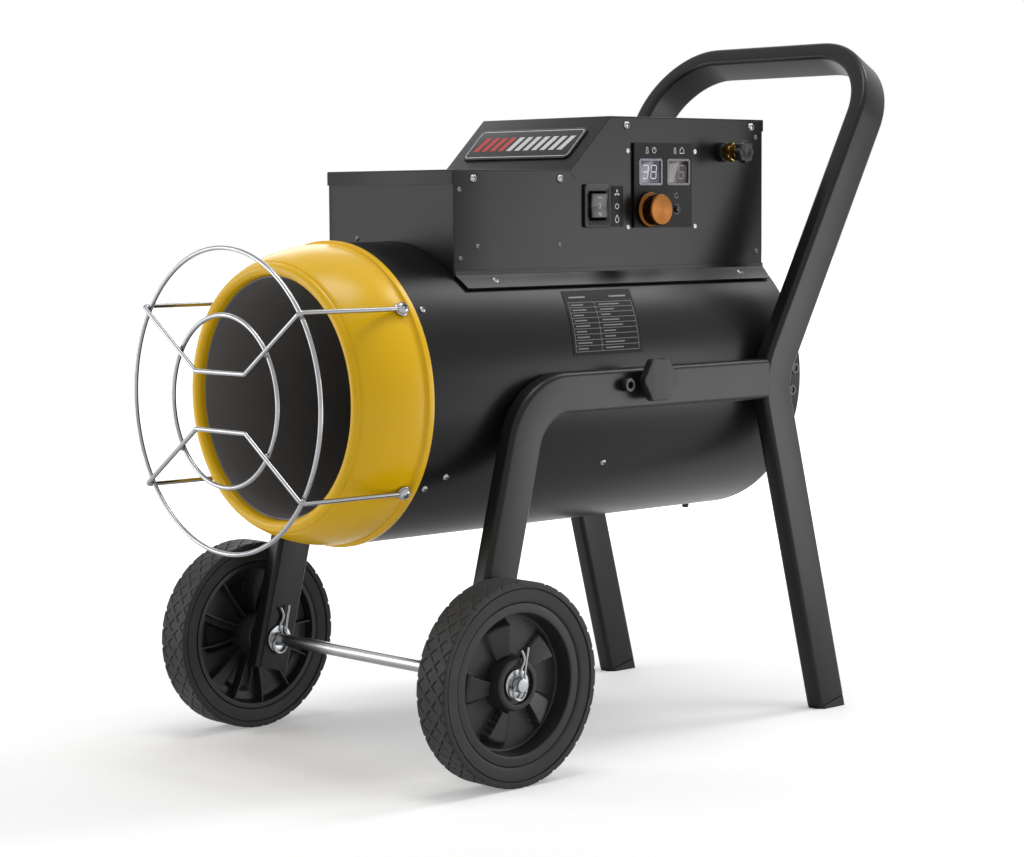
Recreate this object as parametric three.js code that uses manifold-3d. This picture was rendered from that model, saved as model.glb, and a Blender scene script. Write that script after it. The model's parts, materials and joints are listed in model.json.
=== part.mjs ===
// Wheeled forced air heater: a gas-fired barrel heater that tilts in a bent tube cart.
// Millimetres, +Z up, air outlet towards -X, handle at +X, controls on the -Y side.
// "left" and "right" are seen by someone who stands at the handle: left is -Y.
import * as THREE from 'three';
import { mergeVertices } from 'three/addons/utils/BufferGeometryUtils.js';
import Module from 'manifold-3d';

const wasm = await Module();
wasm.setup();

// ---------------------------------------------------------------- dimensions
const FIT = 0.3;                 // gap left between pieces that touch
const MANY = 40;                 // sides of the barrel and its nested rings
const ROUND = 32;                // sides of the wheels
const SOME = 16;                 // sides of knobs, washers and small turned pieces
const FEW = 10;                  // sides of pins, wires and screws
const DEG = Math.PI / 180;

const wheelRadius = 75;
const wheelInnerY = 140;         // tyre's inner side face
const tyreWidth = 29;
const rimRadius = wheelRadius - 15.5;  // where the tyre sits on the hub
const rimWall = 3.2;
const webInset = 10;             // web behind the tyre's inner side face
const ribWidth = 3;
const bossRadius = 20;
const recessRadius = 12.5;       // round pocket in the boss, for the outer washer
const recessDepth = 3;
const webThickness = 3.5;
const petalCount = 6;

const axleRadius = 5;
const axleOverhang = 2.5;        // axle end past the tyre's side face
const washerRadius = 11;
const washerThickness = 1.5;
const clipWire = 2.1;            // wire diameter of the hairpin clips
const clipLean = 8 * DEG;
const clipReach = 24;            // straight leg above the axle's middle
const clipEye = 3.7;             // radius of the bend at the bottom
const clipEyeDrop = 9;

const tubeFace = 32;             // rectangular tube, seen from the side
const tubeThick = 16;            // across the cart
const tubeWall = 1.5;
const tubeCorner = 4;
const barrelGap = 1.2;           // between the barrel and the tubes beside it

const frontLean = 14.3 * DEG;
const frontLegTail = 24;         // leg below the axle
const shoulderRadius = 45;       // bend from the front leg into the side bar
const kneeX = 318.5;             // where rear leg, handle and side bar meet
const rearLean = 14.8 * DEG;
const handleLean = 29.3 * DEG;
const handleLength = 302.4;
const kneeRadius = 50;
const gripRadius = 62;           // the two bends at the top of the handle
const footHeight = 5.6;          // floor to the middle of the tube's cut end
const footLip = 1.3;
const footPlug = 18;

const barrelRadius = 113.3;
const barrelSheet = 1;
const barrelAxisZ = 278;
const barrelFrontX = -36;
const barrelRearX = 369.3;
const rearLipWidth = 7;

const cowlRearX = -32.8;
const cowlSheet = 1.3;
const cowlBeadWidth = 5.2;
const cowlNeckRadius = barrelRadius - 0.7;   // just ahead of the bead
const cowlLipX = -93.1;
const cowlLipRoll = 4.7;         // radius of the rolled lip
const mouthRadius = barrelRadius - 22.9;
const mouthDepth = 11;           // straight wall behind the rolled lip

const flameTubeSheet = 1;
const flameTubeRearX = 152;
const burnerPlateX = 148;
const burnerPlateSheet = 1.5;
const coneLength = 34;
const coneBackRadius = 0.354 * mouthRadius;
const airSlotWidth = 8;
const airSlotMargin = 8;         // solid rim inside and outside the slots
const coneFrontRadius = 0.6416 * mouthRadius;
const coneSheet = 1.2;
const gasPipeRadius = 4;
const nozzleRadius = 6;
const nozzleLength = 22;
const nozzleRearX = burnerPlateX + 12;
const gasDropX = 219;            // where the gas pipe goes down into the barrel
const gasBendRadius = 16;
const gasWindow = { front: 192, rear: 246, half: 26 };   // opening in the barrel under the box
const probeOffset = 19;          // electrode and thermocouple, from the burner's axis
const electrodeRadius = 3;
const thermocoupleRadius = 2;
const electrodeReach = 30;       // tip ahead of the burner plate
const thermocoupleReach = 26;
const probeRear = 22;

const fanRadius = barrelRadius - 9.3;
const fanHubRadius = 22;
const fanHubX = 262;
const fanHubLength = 20;
const fanHubChamfer = 3;
const bladeCount = 5;
const bladeChord = 58;
const bladeSheet = 2;
const bladePitch = 58 * DEG;
const shaftRadius = 4;
const motorRadius = 41;
const motorFrontX = 288;
const motorNoseRadius = 12;
const motorNoseLength = 4;
const motorCrown = 3;            // depth of the sloping ends
const motorBossRadius = 14;
const bracketX = 350;
const bracketSheet = 2.5;
const bracketHeight = 36;
const bracketDrop = 3;
const bracketFlange = 13.5;
const grilleBar = 2.5;
const grilleRings = [0.76, 0.53, 0.3].map((share) => share * barrelRadius);
const grilleHubRadius = 12;

const guardWire = 3.5;
const guardRingRadius = barrelRadius - 2.1;
const guardInnerRadius = 0.56385 * guardRingRadius;
const guardRingX = -134.5;
const guardAngle = 35.5 * DEG;   // the guard's legs, up and down from the sides
const guardRunHalf = 29.7;       // half of the short straight run near the middle
const eyeletX = -44.8;
const eyeletRadius = 5.5;
const screwRadius = 2;
const screwHeadRadius = 4.75;

const boxFrontX = 23.5;
const boxRearX = 365;
const boxHalf = 73.4;
const boxSheet = 1.2;
const lowRoofZ = 443.5;
const highRoofZ = 485.7;
const slopeStartX = 144.1;
const slopeEndX = 187.8;
const coverFold = 9.5;
const skirtLength = 14;
const badgeWidth = 124;
const badgeHeight = 36;
const badgeSheet = 1.2;

const rocker = { x: 171.65, z: 417.4, width: 28.5, height: 33.8, flange: 2, depth: 17 };
const rockerSlot = { width: 18.3, height: 22.8 };
const rockerPivotDepth = 3.4;    // behind the panel's outer face, towards the inside
const plate = { x: 245, z: 433.3, width: 66, height: 66.6, sheet: 1.8 };
const window1 = { x: 230.55, z: 443.85, width: 26.7, height: 21.3 };
const window2 = { x: 262.45, z: 443.85, width: 26.7, height: 21.3 };
const displayMargin = 5;
const knob = { x: 228, z: 414, baseRadius: 14, bodyRadius: 12.25, height: 15, shaftRadius: 3 };
const reset = { x: 260, z: 414.4, radius: 2.8, travel: 2 };
const valve = { x: 316, z: 460, bodyRadius: 5.5, hexRadius: 8, reach: 24, knobRadius: 9, knobLength: 7 };
const boardY = 57.7;             // face of the circuit board, from the middle plane
const board = { front: 206, rear: 300, low: 396, high: 470, sheet: 1.6 };
const potSize = 14;              // body behind the knob, square
const keySize = 7;               // body behind the reset button, square
const keyHeight = 9.3;
const relay = { front: 276, rear: 294, low: 404, high: 424, height: 16 };
const transformer = { front: 60, rear: 112, low: 396, high: 428, depth: 26 };
const manifold = { front: 300, rear: 352, half: 20, height: 30 };

const pivotX = 144.8;
const pivotZ = 282;
const pivotBoltRadius = 3;
const pivotHeadRadius = 5.2;
const pivotHeadHeight = 6.5;
const clampX = 171.6;
const clampZ = 284.9;
const clampStudRadius = 3;
const clampHubRadius = 7;
const clampHubLength = 6.5;
const clampHeadThickness = 6.4;
const clampLobeRadius = 18;
const clampWaistRadius = 15;
const tiltMax = 12 * DEG;
const boltReach = 9;             // bolts and studs inside the barrel wall

// ------------------------------------------------------------ derived places
const tubeInnerY = barrelRadius + barrelGap;
const tubeOuterY = tubeInnerY + tubeThick;
const tubeMidY = (tubeInnerY + tubeOuterY) / 2;
const barrelInner = barrelRadius - barrelSheet;
const flameTubeRadius = mouthRadius - FIT;
const flameTubeInner = flameTubeRadius - flameTubeSheet;
const slopeAngle = Math.atan2(highRoofZ - lowRoofZ, slopeEndX - slopeStartX);
const bossFaceY = wheelInnerY + tyreWidth - 3;
const axleEndY = wheelInnerY + tyreWidth + axleOverhang;

// ------------------------------------------------------------------ materials
const paint = (color, roughness, metalness) =>
  new THREE.MeshStandardMaterial({ color, roughness, metalness });
const MATERIALS = {
  satinBlack: paint(0x3a3a3b, 0.5, 0.1),
  cowlYellow: paint(0xe8b714, 0.35, 0.0),
  heatSteel: paint(0x45423f, 0.55, 0.6),
  zinc: paint(0xc4c7ca, 0.3, 0.9),
  stainless: paint(0xd2d4d6, 0.22, 1.0),
  blackPlastic: paint(0x242425, 0.55, 0.0),
  glossBlack: paint(0x101012, 0.2, 0.0),
  rubber: paint(0x2f2f30, 0.8, 0.0),
  brass: paint(0xc08a30, 0.3, 0.9),
  copper: paint(0xd4853a, 0.28, 0.95),
  ceramic: paint(0xe8e2d4, 0.5, 0.0),
  board: paint(0x1f5a38, 0.6, 0.0),
};

// -------------------------------------------------------------- shape helpers

const point = (x, y, z) => new THREE.Vector3(x, y, z);

/** A three.js geometry as a manifold solid, turned outside out if need be. */
function solid(geometry) {
  const bare = geometry.clone();
  bare.deleteAttribute('normal');
  bare.deleteAttribute('uv');
  const merged = mergeVertices(bare, 1e-4);
  const triVerts = Uint32Array.from(merged.index.array);
  const vertProperties = Float32Array.from(merged.attributes.position.array);
  if (signedVolume(vertProperties, triVerts) < 0) triVerts.reverse();
  return new wasm.Manifold(new wasm.Mesh({ numProp: 3, vertProperties, triVerts }));
}

/** Six times the volume that a closed triangle mesh encloses, negative when inside out. */
function signedVolume(positions, indices) {
  const [a, b, c] = [new THREE.Vector3(), new THREE.Vector3(), new THREE.Vector3()];
  let sum = 0;
  for (let i = 0; i < indices.length; i += 3) {
    a.fromArray(positions, 3 * indices[i]);
    b.fromArray(positions, 3 * indices[i + 1]);
    c.fromArray(positions, 3 * indices[i + 2]);
    sum += a.dot(b.cross(c));
  }
  return sum;
}

/** The solid's triangles as a three.js geometry. */
function geometryOf(manifoldSolid) {
  const mesh = manifoldSolid.getMesh();
  const geometry = new THREE.BufferGeometry();
  geometry.setAttribute('position', new THREE.BufferAttribute(mesh.vertProperties, 3));
  geometry.setIndex(new THREE.BufferAttribute(mesh.triVerts, 1));
  geometry.computeVertexNormals();
  return geometry;
}

const join = (...geometries) =>
  geometryOf(geometries.map(solid).reduce((whole, next) => whole.add(next)));
const cut = (geometry, ...tools) =>
  geometryOf(tools.map(solid).reduce((whole, tool) => whole.subtract(tool), solid(geometry)));
const common = (first, second) => geometryOf(solid(first).intersect(solid(second)));

/** A box given by its limits along each axis. */
function block(x0, x1, y0, y1, z0, z1) {
  const geometry = new THREE.BoxGeometry(x1 - x0, y1 - y0, z1 - z0);
  return geometry.translate((x0 + x1) / 2, (y0 + y1) / 2, (z0 + z1) / 2);
}

/** A closed outline of [along, radius] points turned about the X axis; radii are to the flats. */
function turned(profile, sides) {
  const outward = 1 / Math.cos(Math.PI / sides);
  const points = profile.map(([along, radius]) => new THREE.Vector2(radius * outward, along));
  if (points[0].x > 0 || points.at(-1).x > 0) points.push(points[0].clone());
  const geometry = new THREE.LatheGeometry(points, sides, Math.PI / sides);
  return geometry.rotateZ(-Math.PI / 2);
}

/** The same, turned about the Y axis. */
const turnedY = (profile, sides) => turned(profile, sides).rotateZ(Math.PI / 2);

/** A plain round bar along X. */
const barX = (x0, x1, radius, sides) => turned([[x0, 0], [x0, radius], [x1, radius], [x1, 0]], sides);

/** A plain round bar along Y. */
const barY = (y0, y1, radius, sides) => barX(y0, y1, radius, sides).rotateZ(Math.PI / 2);

const extruded = (shape, depth) =>
  new THREE.ExtrudeGeometry(shape, { depth, bevelEnabled: false, curveSegments: 6 });

/** A flat shape drawn in X and Z, extruded across Y between two limits. */
function acrossY(shape, y0, y1) {
  return extruded(shape, y1 - y0).rotateX(Math.PI / 2).translate(0, y1, 0);
}

/** A flat shape drawn in Y and Z, extruded along X between two limits. */
function alongX(shape, x0, x1) {
  const turn = new THREE.Matrix4().makeBasis(point(0, 1, 0), point(0, 0, 1), point(1, 0, 0));
  return extruded(shape, x1 - x0).applyMatrix4(turn).translate(x0, 0, 0);
}

const shapeOf = (pairs) => new THREE.Shape(pairs.map(([x, y]) => new THREE.Vector2(x, y)));

/** Corner points of a rounded rectangle, two to a corner. */
function roundedRectangle(width, height, radius) {
  const points = [];
  const corners = [[1, 1, 0], [-1, 1, 90], [-1, -1, 180], [1, -1, 270]];
  for (const [sx, sy, start] of corners) {
    for (const turn of [0, 90]) {
      const angle = (start + turn) * DEG;
      points.push(new THREE.Vector2(
        sx * (width / 2 - radius) + radius * Math.cos(angle),
        sy * (height / 2 - radius) + radius * Math.sin(angle)));
    }
  }
  return points;
}

/** Corner points of a regular polygon whose flats lie at the radius. */
function roundSection(radius, sides) {
  const reach = radius / Math.cos(Math.PI / sides);
  return Array.from({ length: sides }, (_, i) => new THREE.Vector2(
    reach * Math.cos(2 * Math.PI * i / sides), reach * Math.sin(2 * Math.PI * i / sides)));
}

/** Places along a line through the corners, each inner corner rounded to its radius. */
function filletedPath(corners, radii, steps) {
  const stations = [];
  const heading = (i) => corners[i + 1].clone().sub(corners[i]).normalize();
  stations.push({ at: corners[0].clone(), along: heading(0) });
  for (let i = 1; i < corners.length - 1; i++) {
    const before = heading(i - 1);
    const after = heading(i);
    const angle = before.angleTo(after);
    const radius = radii[i - 1];
    const inward = after.clone().sub(before).normalize();
    const centre = corners[i].clone().addScaledVector(inward, radius / Math.cos(angle / 2));
    const hinge = before.clone().cross(after).normalize();
    const start = corners[i].clone().addScaledVector(before, -radius * Math.tan(angle / 2)).sub(centre);
    for (let k = 0; k <= steps; k++) {
      const turn = angle * k / steps;
      stations.push({
        at: start.clone().applyAxisAngle(hinge, turn).add(centre),
        along: before.clone().applyAxisAngle(hinge, turn),
      });
    }
  }
  stations.push({ at: corners.at(-1).clone(), along: heading(corners.length - 2) });
  return stations;
}

/** Places along a smooth curve through the points. */
function smoothPath(points, steps) {
  const curve = new THREE.CatmullRomCurve3(points, false, 'centripetal');
  return Array.from({ length: steps + 1 }, (_, i) => ({
    at: curve.getPointAt(i / steps), along: curve.getTangentAt(i / steps),
  }));
}

/** Sweeps a section, and an optional bore, along stations; the section's X starts along `side`. */
function sweep(stations, side, section, bore = []) {
  const outline = [...section, ...bore];
  const positions = [];
  const across = side.clone();
  let before = stations[0].along;
  for (const { at, along } of stations) {
    across.applyQuaternion(new THREE.Quaternion().setFromUnitVectors(before, along));
    before = along;
    const up = along.clone().cross(across);
    for (const { x, y } of outline) {
      positions.push(...at.clone().addScaledVector(across, x).addScaledVector(up, y).toArray());
    }
  }
  const indices = [];
  const ring = outline.length;
  const wall = (from, to, flip) => {
    for (let level = 0; level < stations.length - 1; level++) {
      for (let i = from; i < to; i++) {
        const next = i + 1 < to ? i + 1 : from;
        const [a, b] = [level * ring + i, level * ring + next];
        const [c, d] = [a + ring, b + ring];
        indices.push(...(flip ? [a, c, b, b, c, d] : [a, b, c, b, d, c]));
      }
    }
  };
  wall(0, section.length, false);
  if (bore.length) wall(section.length, ring, true);
  const last = (stations.length - 1) * ring;
  for (const [a, b, c] of THREE.ShapeUtils.triangulateShape(section, bore.length ? [bore] : [])) {
    indices.push(a, c, b, last + a, last + b, last + c);
  }
  const geometry = new THREE.BufferGeometry();
  geometry.setAttribute('position', new THREE.Float32BufferAttribute(positions, 3));
  geometry.setIndex(indices);
  geometry.computeVertexNormals();
  return geometry;
}

const AXIS_Y = point(0, 1, 0);

const cart = new THREE.Group();
const heater = new THREE.Group();

/** Adds one named piece to a group. */
function piece(group, name, geometry, material) {
  const mesh = new THREE.Mesh(geometryOf(solid(geometry)), MATERIALS[material]);
  mesh.name = name;
  group.add(mesh);
  return mesh;
}

/** The same geometry on the other side of the middle plane. */
const mirrored = (geometry) => geometry.clone().scale(1, -1, 1);

/** Adds a right-hand piece and its mirror image on the left. */
function bothSides(group, name, geometry, material) {
  piece(group, `${name}_right`, geometry, material);
  piece(group, `${name}_left`, mirrored(geometry), material);
}

// ----------------------------------------------------------------- cart frame

const kneeTurn = (lean, length, y) =>
  point(kneeX + length * Math.sin(lean), y, barrelAxisZ + length * Math.cos(lean));

/** Centre of the rear leg at a height, on one side. */
function rearLegAt(z, y) {
  return point(kneeX + (barrelAxisZ - z) * Math.tan(rearLean), y, z);
}

/** Corners of the one tube that makes both rear legs and the handle. */
function handleCorners() {
  const left = [rearLegAt(footHeight, -tubeMidY), point(kneeX, -tubeMidY, barrelAxisZ),
    kneeTurn(handleLean, handleLength, -tubeMidY)];
  return [...left, ...left.map(({ x, y, z }) => point(x, -y, z)).reverse()];
}

const rearLegSide = point(Math.cos(rearLean), 0, Math.sin(rearLean));
const tubeSection = (grow) =>
  roundedRectangle(tubeFace + 2 * grow, tubeThick + 2 * grow, tubeCorner + grow);
const tubeBore = roundedRectangle(tubeFace - 2 * tubeWall, tubeThick - 2 * tubeWall, tubeCorner - tubeWall);

function handleTube(grow, bore) {
  const path = filletedPath(handleCorners(), [kneeRadius, gripRadius, gripRadius, kneeRadius], 6);
  return sweep(path, rearLegSide, tubeSection(grow), bore);
}

/** An arc slot in X and Z about the tilt pivot, for the clamp stud. */
function clampSlot() {
  const radius = Math.hypot(clampX - pivotX, clampZ - pivotZ);
  const rest = Math.atan2(clampZ - pivotZ, clampX - pivotX);
  const half = clampStudRadius + 2 * FIT;
  const spare = 1 * DEG;
  const [low, high] = [rest - tiltMax - spare, rest + spare];
  const place = (angle, reach) => [pivotX + reach * Math.cos(angle), pivotZ + reach * Math.sin(angle)];
  const slot = new THREE.Shape();
  slot.absarc(pivotX, pivotZ, radius + half, low, high, false);
  slot.absarc(...place(high, radius), half, high, high + Math.PI, false);
  slot.absarc(pivotX, pivotZ, radius - half, high, low, true);
  slot.absarc(...place(low, radius), half, low + Math.PI, low + 2 * Math.PI, false);
  return acrossY(slot, tubeInnerY - 2, tubeOuterY + 2);
}

/** The right front leg and side bar, one bent tube that butts against the rear tube. */
function sideFrame() {
  const legAt = (z) => point((z - wheelRadius) * Math.tan(frontLean), tubeMidY, z);
  const butt = point(kneeX, tubeMidY, barrelAxisZ);
  const corners = [legAt(wheelRadius - frontLegTail), legAt(barrelAxisZ), butt];
  const side = point(Math.cos(frontLean), 0, -Math.sin(frontLean));
  const tube = sweep(filletedPath(corners, [shoulderRadius], 6), side, tubeSection(0), tubeBore);
  const [y0, y1] = [tubeInnerY - 2, tubeOuterY + 2];
  return cut(tube,
    handleTube(FIT, []),
    barY(y0, y1, axleRadius + FIT, SOME).translate(0, 0, wheelRadius),
    barY(y0, y1, pivotBoltRadius + FIT, SOME).translate(pivotX, 0, pivotZ),
    clampSlot());
}

/** Wedge-shaped plug in the foot of the right rear leg, flat on the floor. */
function footCap() {
  const end = rearLegAt(footHeight, tubeMidY);
  const up = point(-Math.sin(rearLean), 0, Math.cos(rearLean));
  const along = (from, to) => [from, to].map((distance) => ({
    at: end.clone().addScaledVector(up, distance), along: up }));
  const shoe = sweep(along(-3 * footHeight, -FIT), rearLegSide, tubeSection(footLip));
  const inside = tubeWall + FIT;
  const plug = sweep(along(-2 * FIT, footPlug), rearLegSide, tubeSection(-inside));
  const below = block(end.x - 2 * tubeFace, end.x + 2 * tubeFace, 0, 2 * tubeOuterY, -2 * tubeFace, 0);
  return cut(join(shoe, plug), below);
}

piece(cart, 'handle_tube', handleTube(0, tubeBore), 'satinBlack');
bothSides(cart, 'side_frame', sideFrame(), 'satinBlack');
bothSides(cart, 'foot_cap', footCap(), 'blackPlastic');

// ------------------------------------------------------------ axle and wheels

const clipInnerY = tubeInnerY - FIT - washerThickness - FIT - clipWire / 2 - FIT;
const clipOuterY = bossFaceY + FIT + clipWire / 2;

/** Hairpin clip in the plane at y, its straight leg through the axle. */
function hairpinClip(y, lean) {
  const straightLeg = [[clipReach, 0], [clipReach / 3, 0], [-clipReach / 4, 0], [-clipEyeDrop, 0]];
  const round = [1, 2, 3, 4].map((quarter) => [
    -clipEyeDrop - clipEye * Math.sin(quarter * Math.PI / 4),
    clipEye - clipEye * Math.cos(quarter * Math.PI / 4)]);
  const wavyLeg = [[-3, 7.2], [3, 6.8], [9, 3.9], [13, 3.2], [17, 3.8], [23, 6.4]];
  const route = [...straightLeg, ...round, ...wavyLeg];
  const points = route.map(([up, out]) => point(-out, 0, up));
  const wire = sweep(smoothPath(points, 24), AXIS_Y, roundSection(clipWire / 2, 5));
  return wire.rotateY(lean).translate(0, y, wheelRadius);
}

function axle() {
  const rod = barY(-axleEndY, axleEndY, axleRadius, SOME).translate(0, 0, wheelRadius);
  const drill = (y, lean) => barX(-3 * axleRadius, 3 * axleRadius, clipWire / 2 + 2 * FIT, FEW)
    .rotateY(Math.PI / 2 + lean).translate(0, y, wheelRadius);
  const holes = [clipInnerY, clipOuterY].flatMap((y) => [drill(y, clipLean), drill(-y, clipLean)]);
  return cut(rod, ...holes);
}

const washer = (y) => turnedY([[y, axleRadius + FIT], [y, washerRadius],
  [y + washerThickness, washerRadius], [y + washerThickness, axleRadius + FIT]], SOME)
  .translate(0, 0, wheelRadius);

/** Moulded wheel centre: rim, dished web, boss and petal ribs on the outer side. */
function wheelHub() {
  const bore = axleRadius + FIT;
  const rimY = wheelInnerY + 1.5;
  const rimOuterY = wheelInnerY + tyreWidth - 1.5;
  const webY = wheelInnerY + webInset;
  const floorY = bossFaceY - recessDepth;
  const rim = rimRadius - FIT;
  const wheel = turnedY([
    [tubeOuterY + FIT, bore], [tubeOuterY + FIT, bossRadius - 4], [webY, bossRadius - 4],
    [webY - 2, rim - rimWall], [rimY, rim - rimWall], [rimY, rim], [rimOuterY, rim],
    [rimOuterY, rim - rimWall + 1], [webY + webThickness + 4, rim - rimWall - 2],
    [webY + webThickness - 1, rim - rimWall - 6], [webY + webThickness, bossRadius],
    [bossFaceY, bossRadius], [bossFaceY, recessRadius], [floorY, recessRadius], [floorY, bore],
  ], ROUND);
  const ribs = Array.from({ length: petalCount }, (_, i) =>
    block(bossRadius - 2, rim - rimWall - 3, webY + 1, webY + webThickness + 4, -ribWidth / 2, ribWidth / 2)
      .rotateY(2 * Math.PI * i / petalCount));
  return join(wheel, ...ribs).translate(0, 0, wheelRadius);
}

/** Rubber tyre, flat where it meets the floor. */
function tyre() {
  const [inner, outer] = [wheelInnerY, wheelInnerY + tyreWidth];
  return turnedY([
    [inner + 1, rimRadius], [inner, rimRadius + 4], [inner, wheelRadius - 0.8],
    [inner + 0.8, wheelRadius], [outer - 0.8, wheelRadius], [outer, wheelRadius - 0.8],
    [outer, rimRadius + 4], [outer - 1, rimRadius],
  ], ROUND).translate(0, 0, wheelRadius);
}

piece(cart, 'axle', axle(), 'zinc');
bothSides(cart, 'axle_washer_inner', washer(tubeInnerY - FIT - washerThickness), 'zinc');
bothSides(cart, 'axle_washer_outer', washer(bossFaceY - recessDepth + FIT), 'zinc');
bothSides(cart, 'clip_inner', hairpinClip(clipInnerY, clipLean), 'stainless');
bothSides(cart, 'clip_outer', hairpinClip(clipOuterY, clipLean), 'stainless');
bothSides(cart, 'wheel_hub', wheelHub(), 'blackPlastic');
bothSides(cart, 'tyre', tyre(), 'rubber');

// ------------------------------------------------------- barrel, cowl, burner
// These pieces are drawn about the X axis and lifted to the barrel's axis.

const lifted = (geometry) => geometry.translate(0, 0, barrelAxisZ);

/** Holes for the pivot bolts and the clamp studs, all the way across. */
function crossHoles() {
  const reach = barrelRadius + 5;
  return [
    barY(-reach, reach, pivotBoltRadius + FIT, SOME).translate(pivotX, 0, pivotZ - barrelAxisZ),
    barY(-reach, reach, clampStudRadius + FIT, SOME).translate(clampX, 0, clampZ - barrelAxisZ),
  ];
}

function barrelShell() {
  const shell = turned([
    [barrelFrontX, barrelInner], [barrelFrontX, barrelRadius], [barrelRearX - 3, barrelRadius],
    [barrelRearX - 0.9, barrelRadius - 0.9], [barrelRearX, barrelRadius - 3],
    [barrelRearX, barrelRadius - rearLipWidth], [barrelRearX - barrelSheet, barrelRadius - rearLipWidth],
    [barrelRearX - barrelSheet, barrelInner],
  ], MANY);
  const window = block(gasWindow.front, gasWindow.rear, -gasWindow.half, gasWindow.half, 0, barrelRadius + 5);
  return lifted(cut(shell, window, ...crossHoles()));
}

/** Outer line of the cowl from the bead to the rolled lip, drawn in by an inset. */
function cowlLine(inset, steps) {
  const lipCentreX = cowlLipX + cowlLipRoll;
  const lipCentreR = mouthRadius + cowlLipRoll;
  const rearX = cowlRearX - cowlBeadWidth - 1;
  const frontR = lipCentreR + cowlLipRoll + 1;
  const [run, drop] = [rearX - lipCentreX, cowlNeckRadius - frontR];
  const bow = (run * run + drop * drop) / (2 * drop);
  const sweepAngle = Math.asin(run / bow);
  const line = [];
  for (let i = 0; i <= steps; i++) {
    const angle = sweepAngle * i / steps;
    const reach = bow - inset;
    line.push([rearX - reach * Math.sin(angle), cowlNeckRadius - bow + reach * Math.cos(angle)]);
  }
  for (let i = 1; i <= steps; i++) {
    const angle = Math.PI * i / steps;
    line.push([lipCentreX - (cowlLipRoll - inset) * Math.sin(angle),
      lipCentreR + (cowlLipRoll - inset) * Math.cos(angle)]);
  }
  return line;
}

function frontCowl() {
  const beadInner = barrelRadius + FIT;
  const beadOuter = beadInner + cowlSheet;
  const mouthEnd = cowlLipX + mouthDepth;
  const shell = turned([
    [cowlRearX, beadInner], [cowlRearX, beadOuter], [cowlRearX - cowlBeadWidth, beadOuter],
    ...cowlLine(0, 4), [mouthEnd, mouthRadius], [mouthEnd, mouthRadius + cowlSheet],
    ...cowlLine(cowlSheet, 2).reverse(), [barrelFrontX - FIT, beadInner],
  ], MANY);
  const drills = guardCorners().map(({ turn }) =>
    barX(mouthRadius, barrelRadius + 9, screwRadius + FIT, FEW)
      .rotateY(-Math.PI / 2).translate(eyeletX, 0, 0).rotateX(turn));
  return lifted(cut(shell, ...drills));
}

/** The four corners of the guard: how far each is turned about X from straight up. */
function guardCorners() {
  const quarter = Math.PI / 2 - guardAngle;
  return [
    { name: 'upper_right', turn: -quarter }, { name: 'upper_left', turn: quarter },
    { name: 'lower_right', turn: -Math.PI + quarter }, { name: 'lower_left', turn: Math.PI - quarter },
  ];
}

function flameTube() {
  const frontX = cowlLipX + mouthDepth - 4;
  return lifted(turned([
    [frontX, flameTubeInner], [frontX, flameTubeRadius],
    [flameTubeRearX, flameTubeRadius], [flameTubeRearX, flameTubeInner],
  ], MANY));
}

/** Round holes on the burner's axis and for the two probes. */
function burnerHoles() {
  const [from, to] = [burnerPlateX - 10, burnerPlateX + 10];
  return [
    barX(from, to, nozzleRadius + FIT, SOME),
    barX(from, to, electrodeRadius + FIT, FEW).translate(0, 0, probeOffset),
    barX(from, to, thermocoupleRadius + FIT, FEW).translate(0, 0, -probeOffset),
  ];
}

/** Disc across the flame tube, with air slots round the cone. */
function burnerPlate() {
  const radius = flameTubeInner - FIT;
  const disc = barX(burnerPlateX, burnerPlateX + burnerPlateSheet, radius, MANY);
  const slots = Array.from({ length: 8 }, (_, i) =>
    block(burnerPlateX - 5, burnerPlateX + 5, -airSlotWidth / 2, airSlotWidth / 2,
      coneBackRadius + airSlotMargin, radius - airSlotMargin)
      .rotateX((2 * i + 1) * Math.PI / 8));
  return lifted(cut(disc, ...burnerHoles(), ...slots));
}

/** Cup that holds the flame, wide end forward. */
function burnerCone() {
  const backX = burnerPlateX - FIT;
  const frontX = backX - coneLength;
  const cup = turned([
    [backX, 0], [backX, coneBackRadius], [frontX, coneFrontRadius],
    [frontX, coneFrontRadius - coneSheet], [backX - coneSheet, coneBackRadius - coneSheet],
    [backX - coneSheet, 0],
  ], 36);
  return lifted(cut(cup, ...burnerHoles()));
}

/** Pipe from the gas manifold, down into the barrel and forward to the nozzle. */
function gasPipe() {
  const corners = [point(manifold.front - FIT, 0, valve.z), point(gasDropX, 0, valve.z),
    point(gasDropX, 0, barrelAxisZ), point(nozzleRearX - 1, 0, barrelAxisZ)];
  const path = filletedPath(corners, [gasBendRadius, gasBendRadius], 4);
  const pipe = sweep(path, AXIS_Y, roundSection(gasPipeRadius, 8));
  const nozzle = lifted(turned([
    [nozzleRearX, 0], [nozzleRearX, nozzleRadius], [nozzleRearX - nozzleLength + 4, nozzleRadius],
    [nozzleRearX - nozzleLength, nozzleRadius / 2], [nozzleRearX - nozzleLength, 0],
  ], SOME));
  return join(pipe, nozzle);
}

/** Rod through the burner plate, its thinner tip reaching into the flame. */
const probe = (radius, tipRadius, reach, up) => lifted(turned([
  [burnerPlateX + probeRear, 0], [burnerPlateX + probeRear, radius], [burnerPlateX - probeRear / 2, radius],
  [burnerPlateX - probeRear / 2, tipRadius], [burnerPlateX - reach, tipRadius], [burnerPlateX - reach, 0],
], FEW).translate(0, 0, up));

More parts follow.
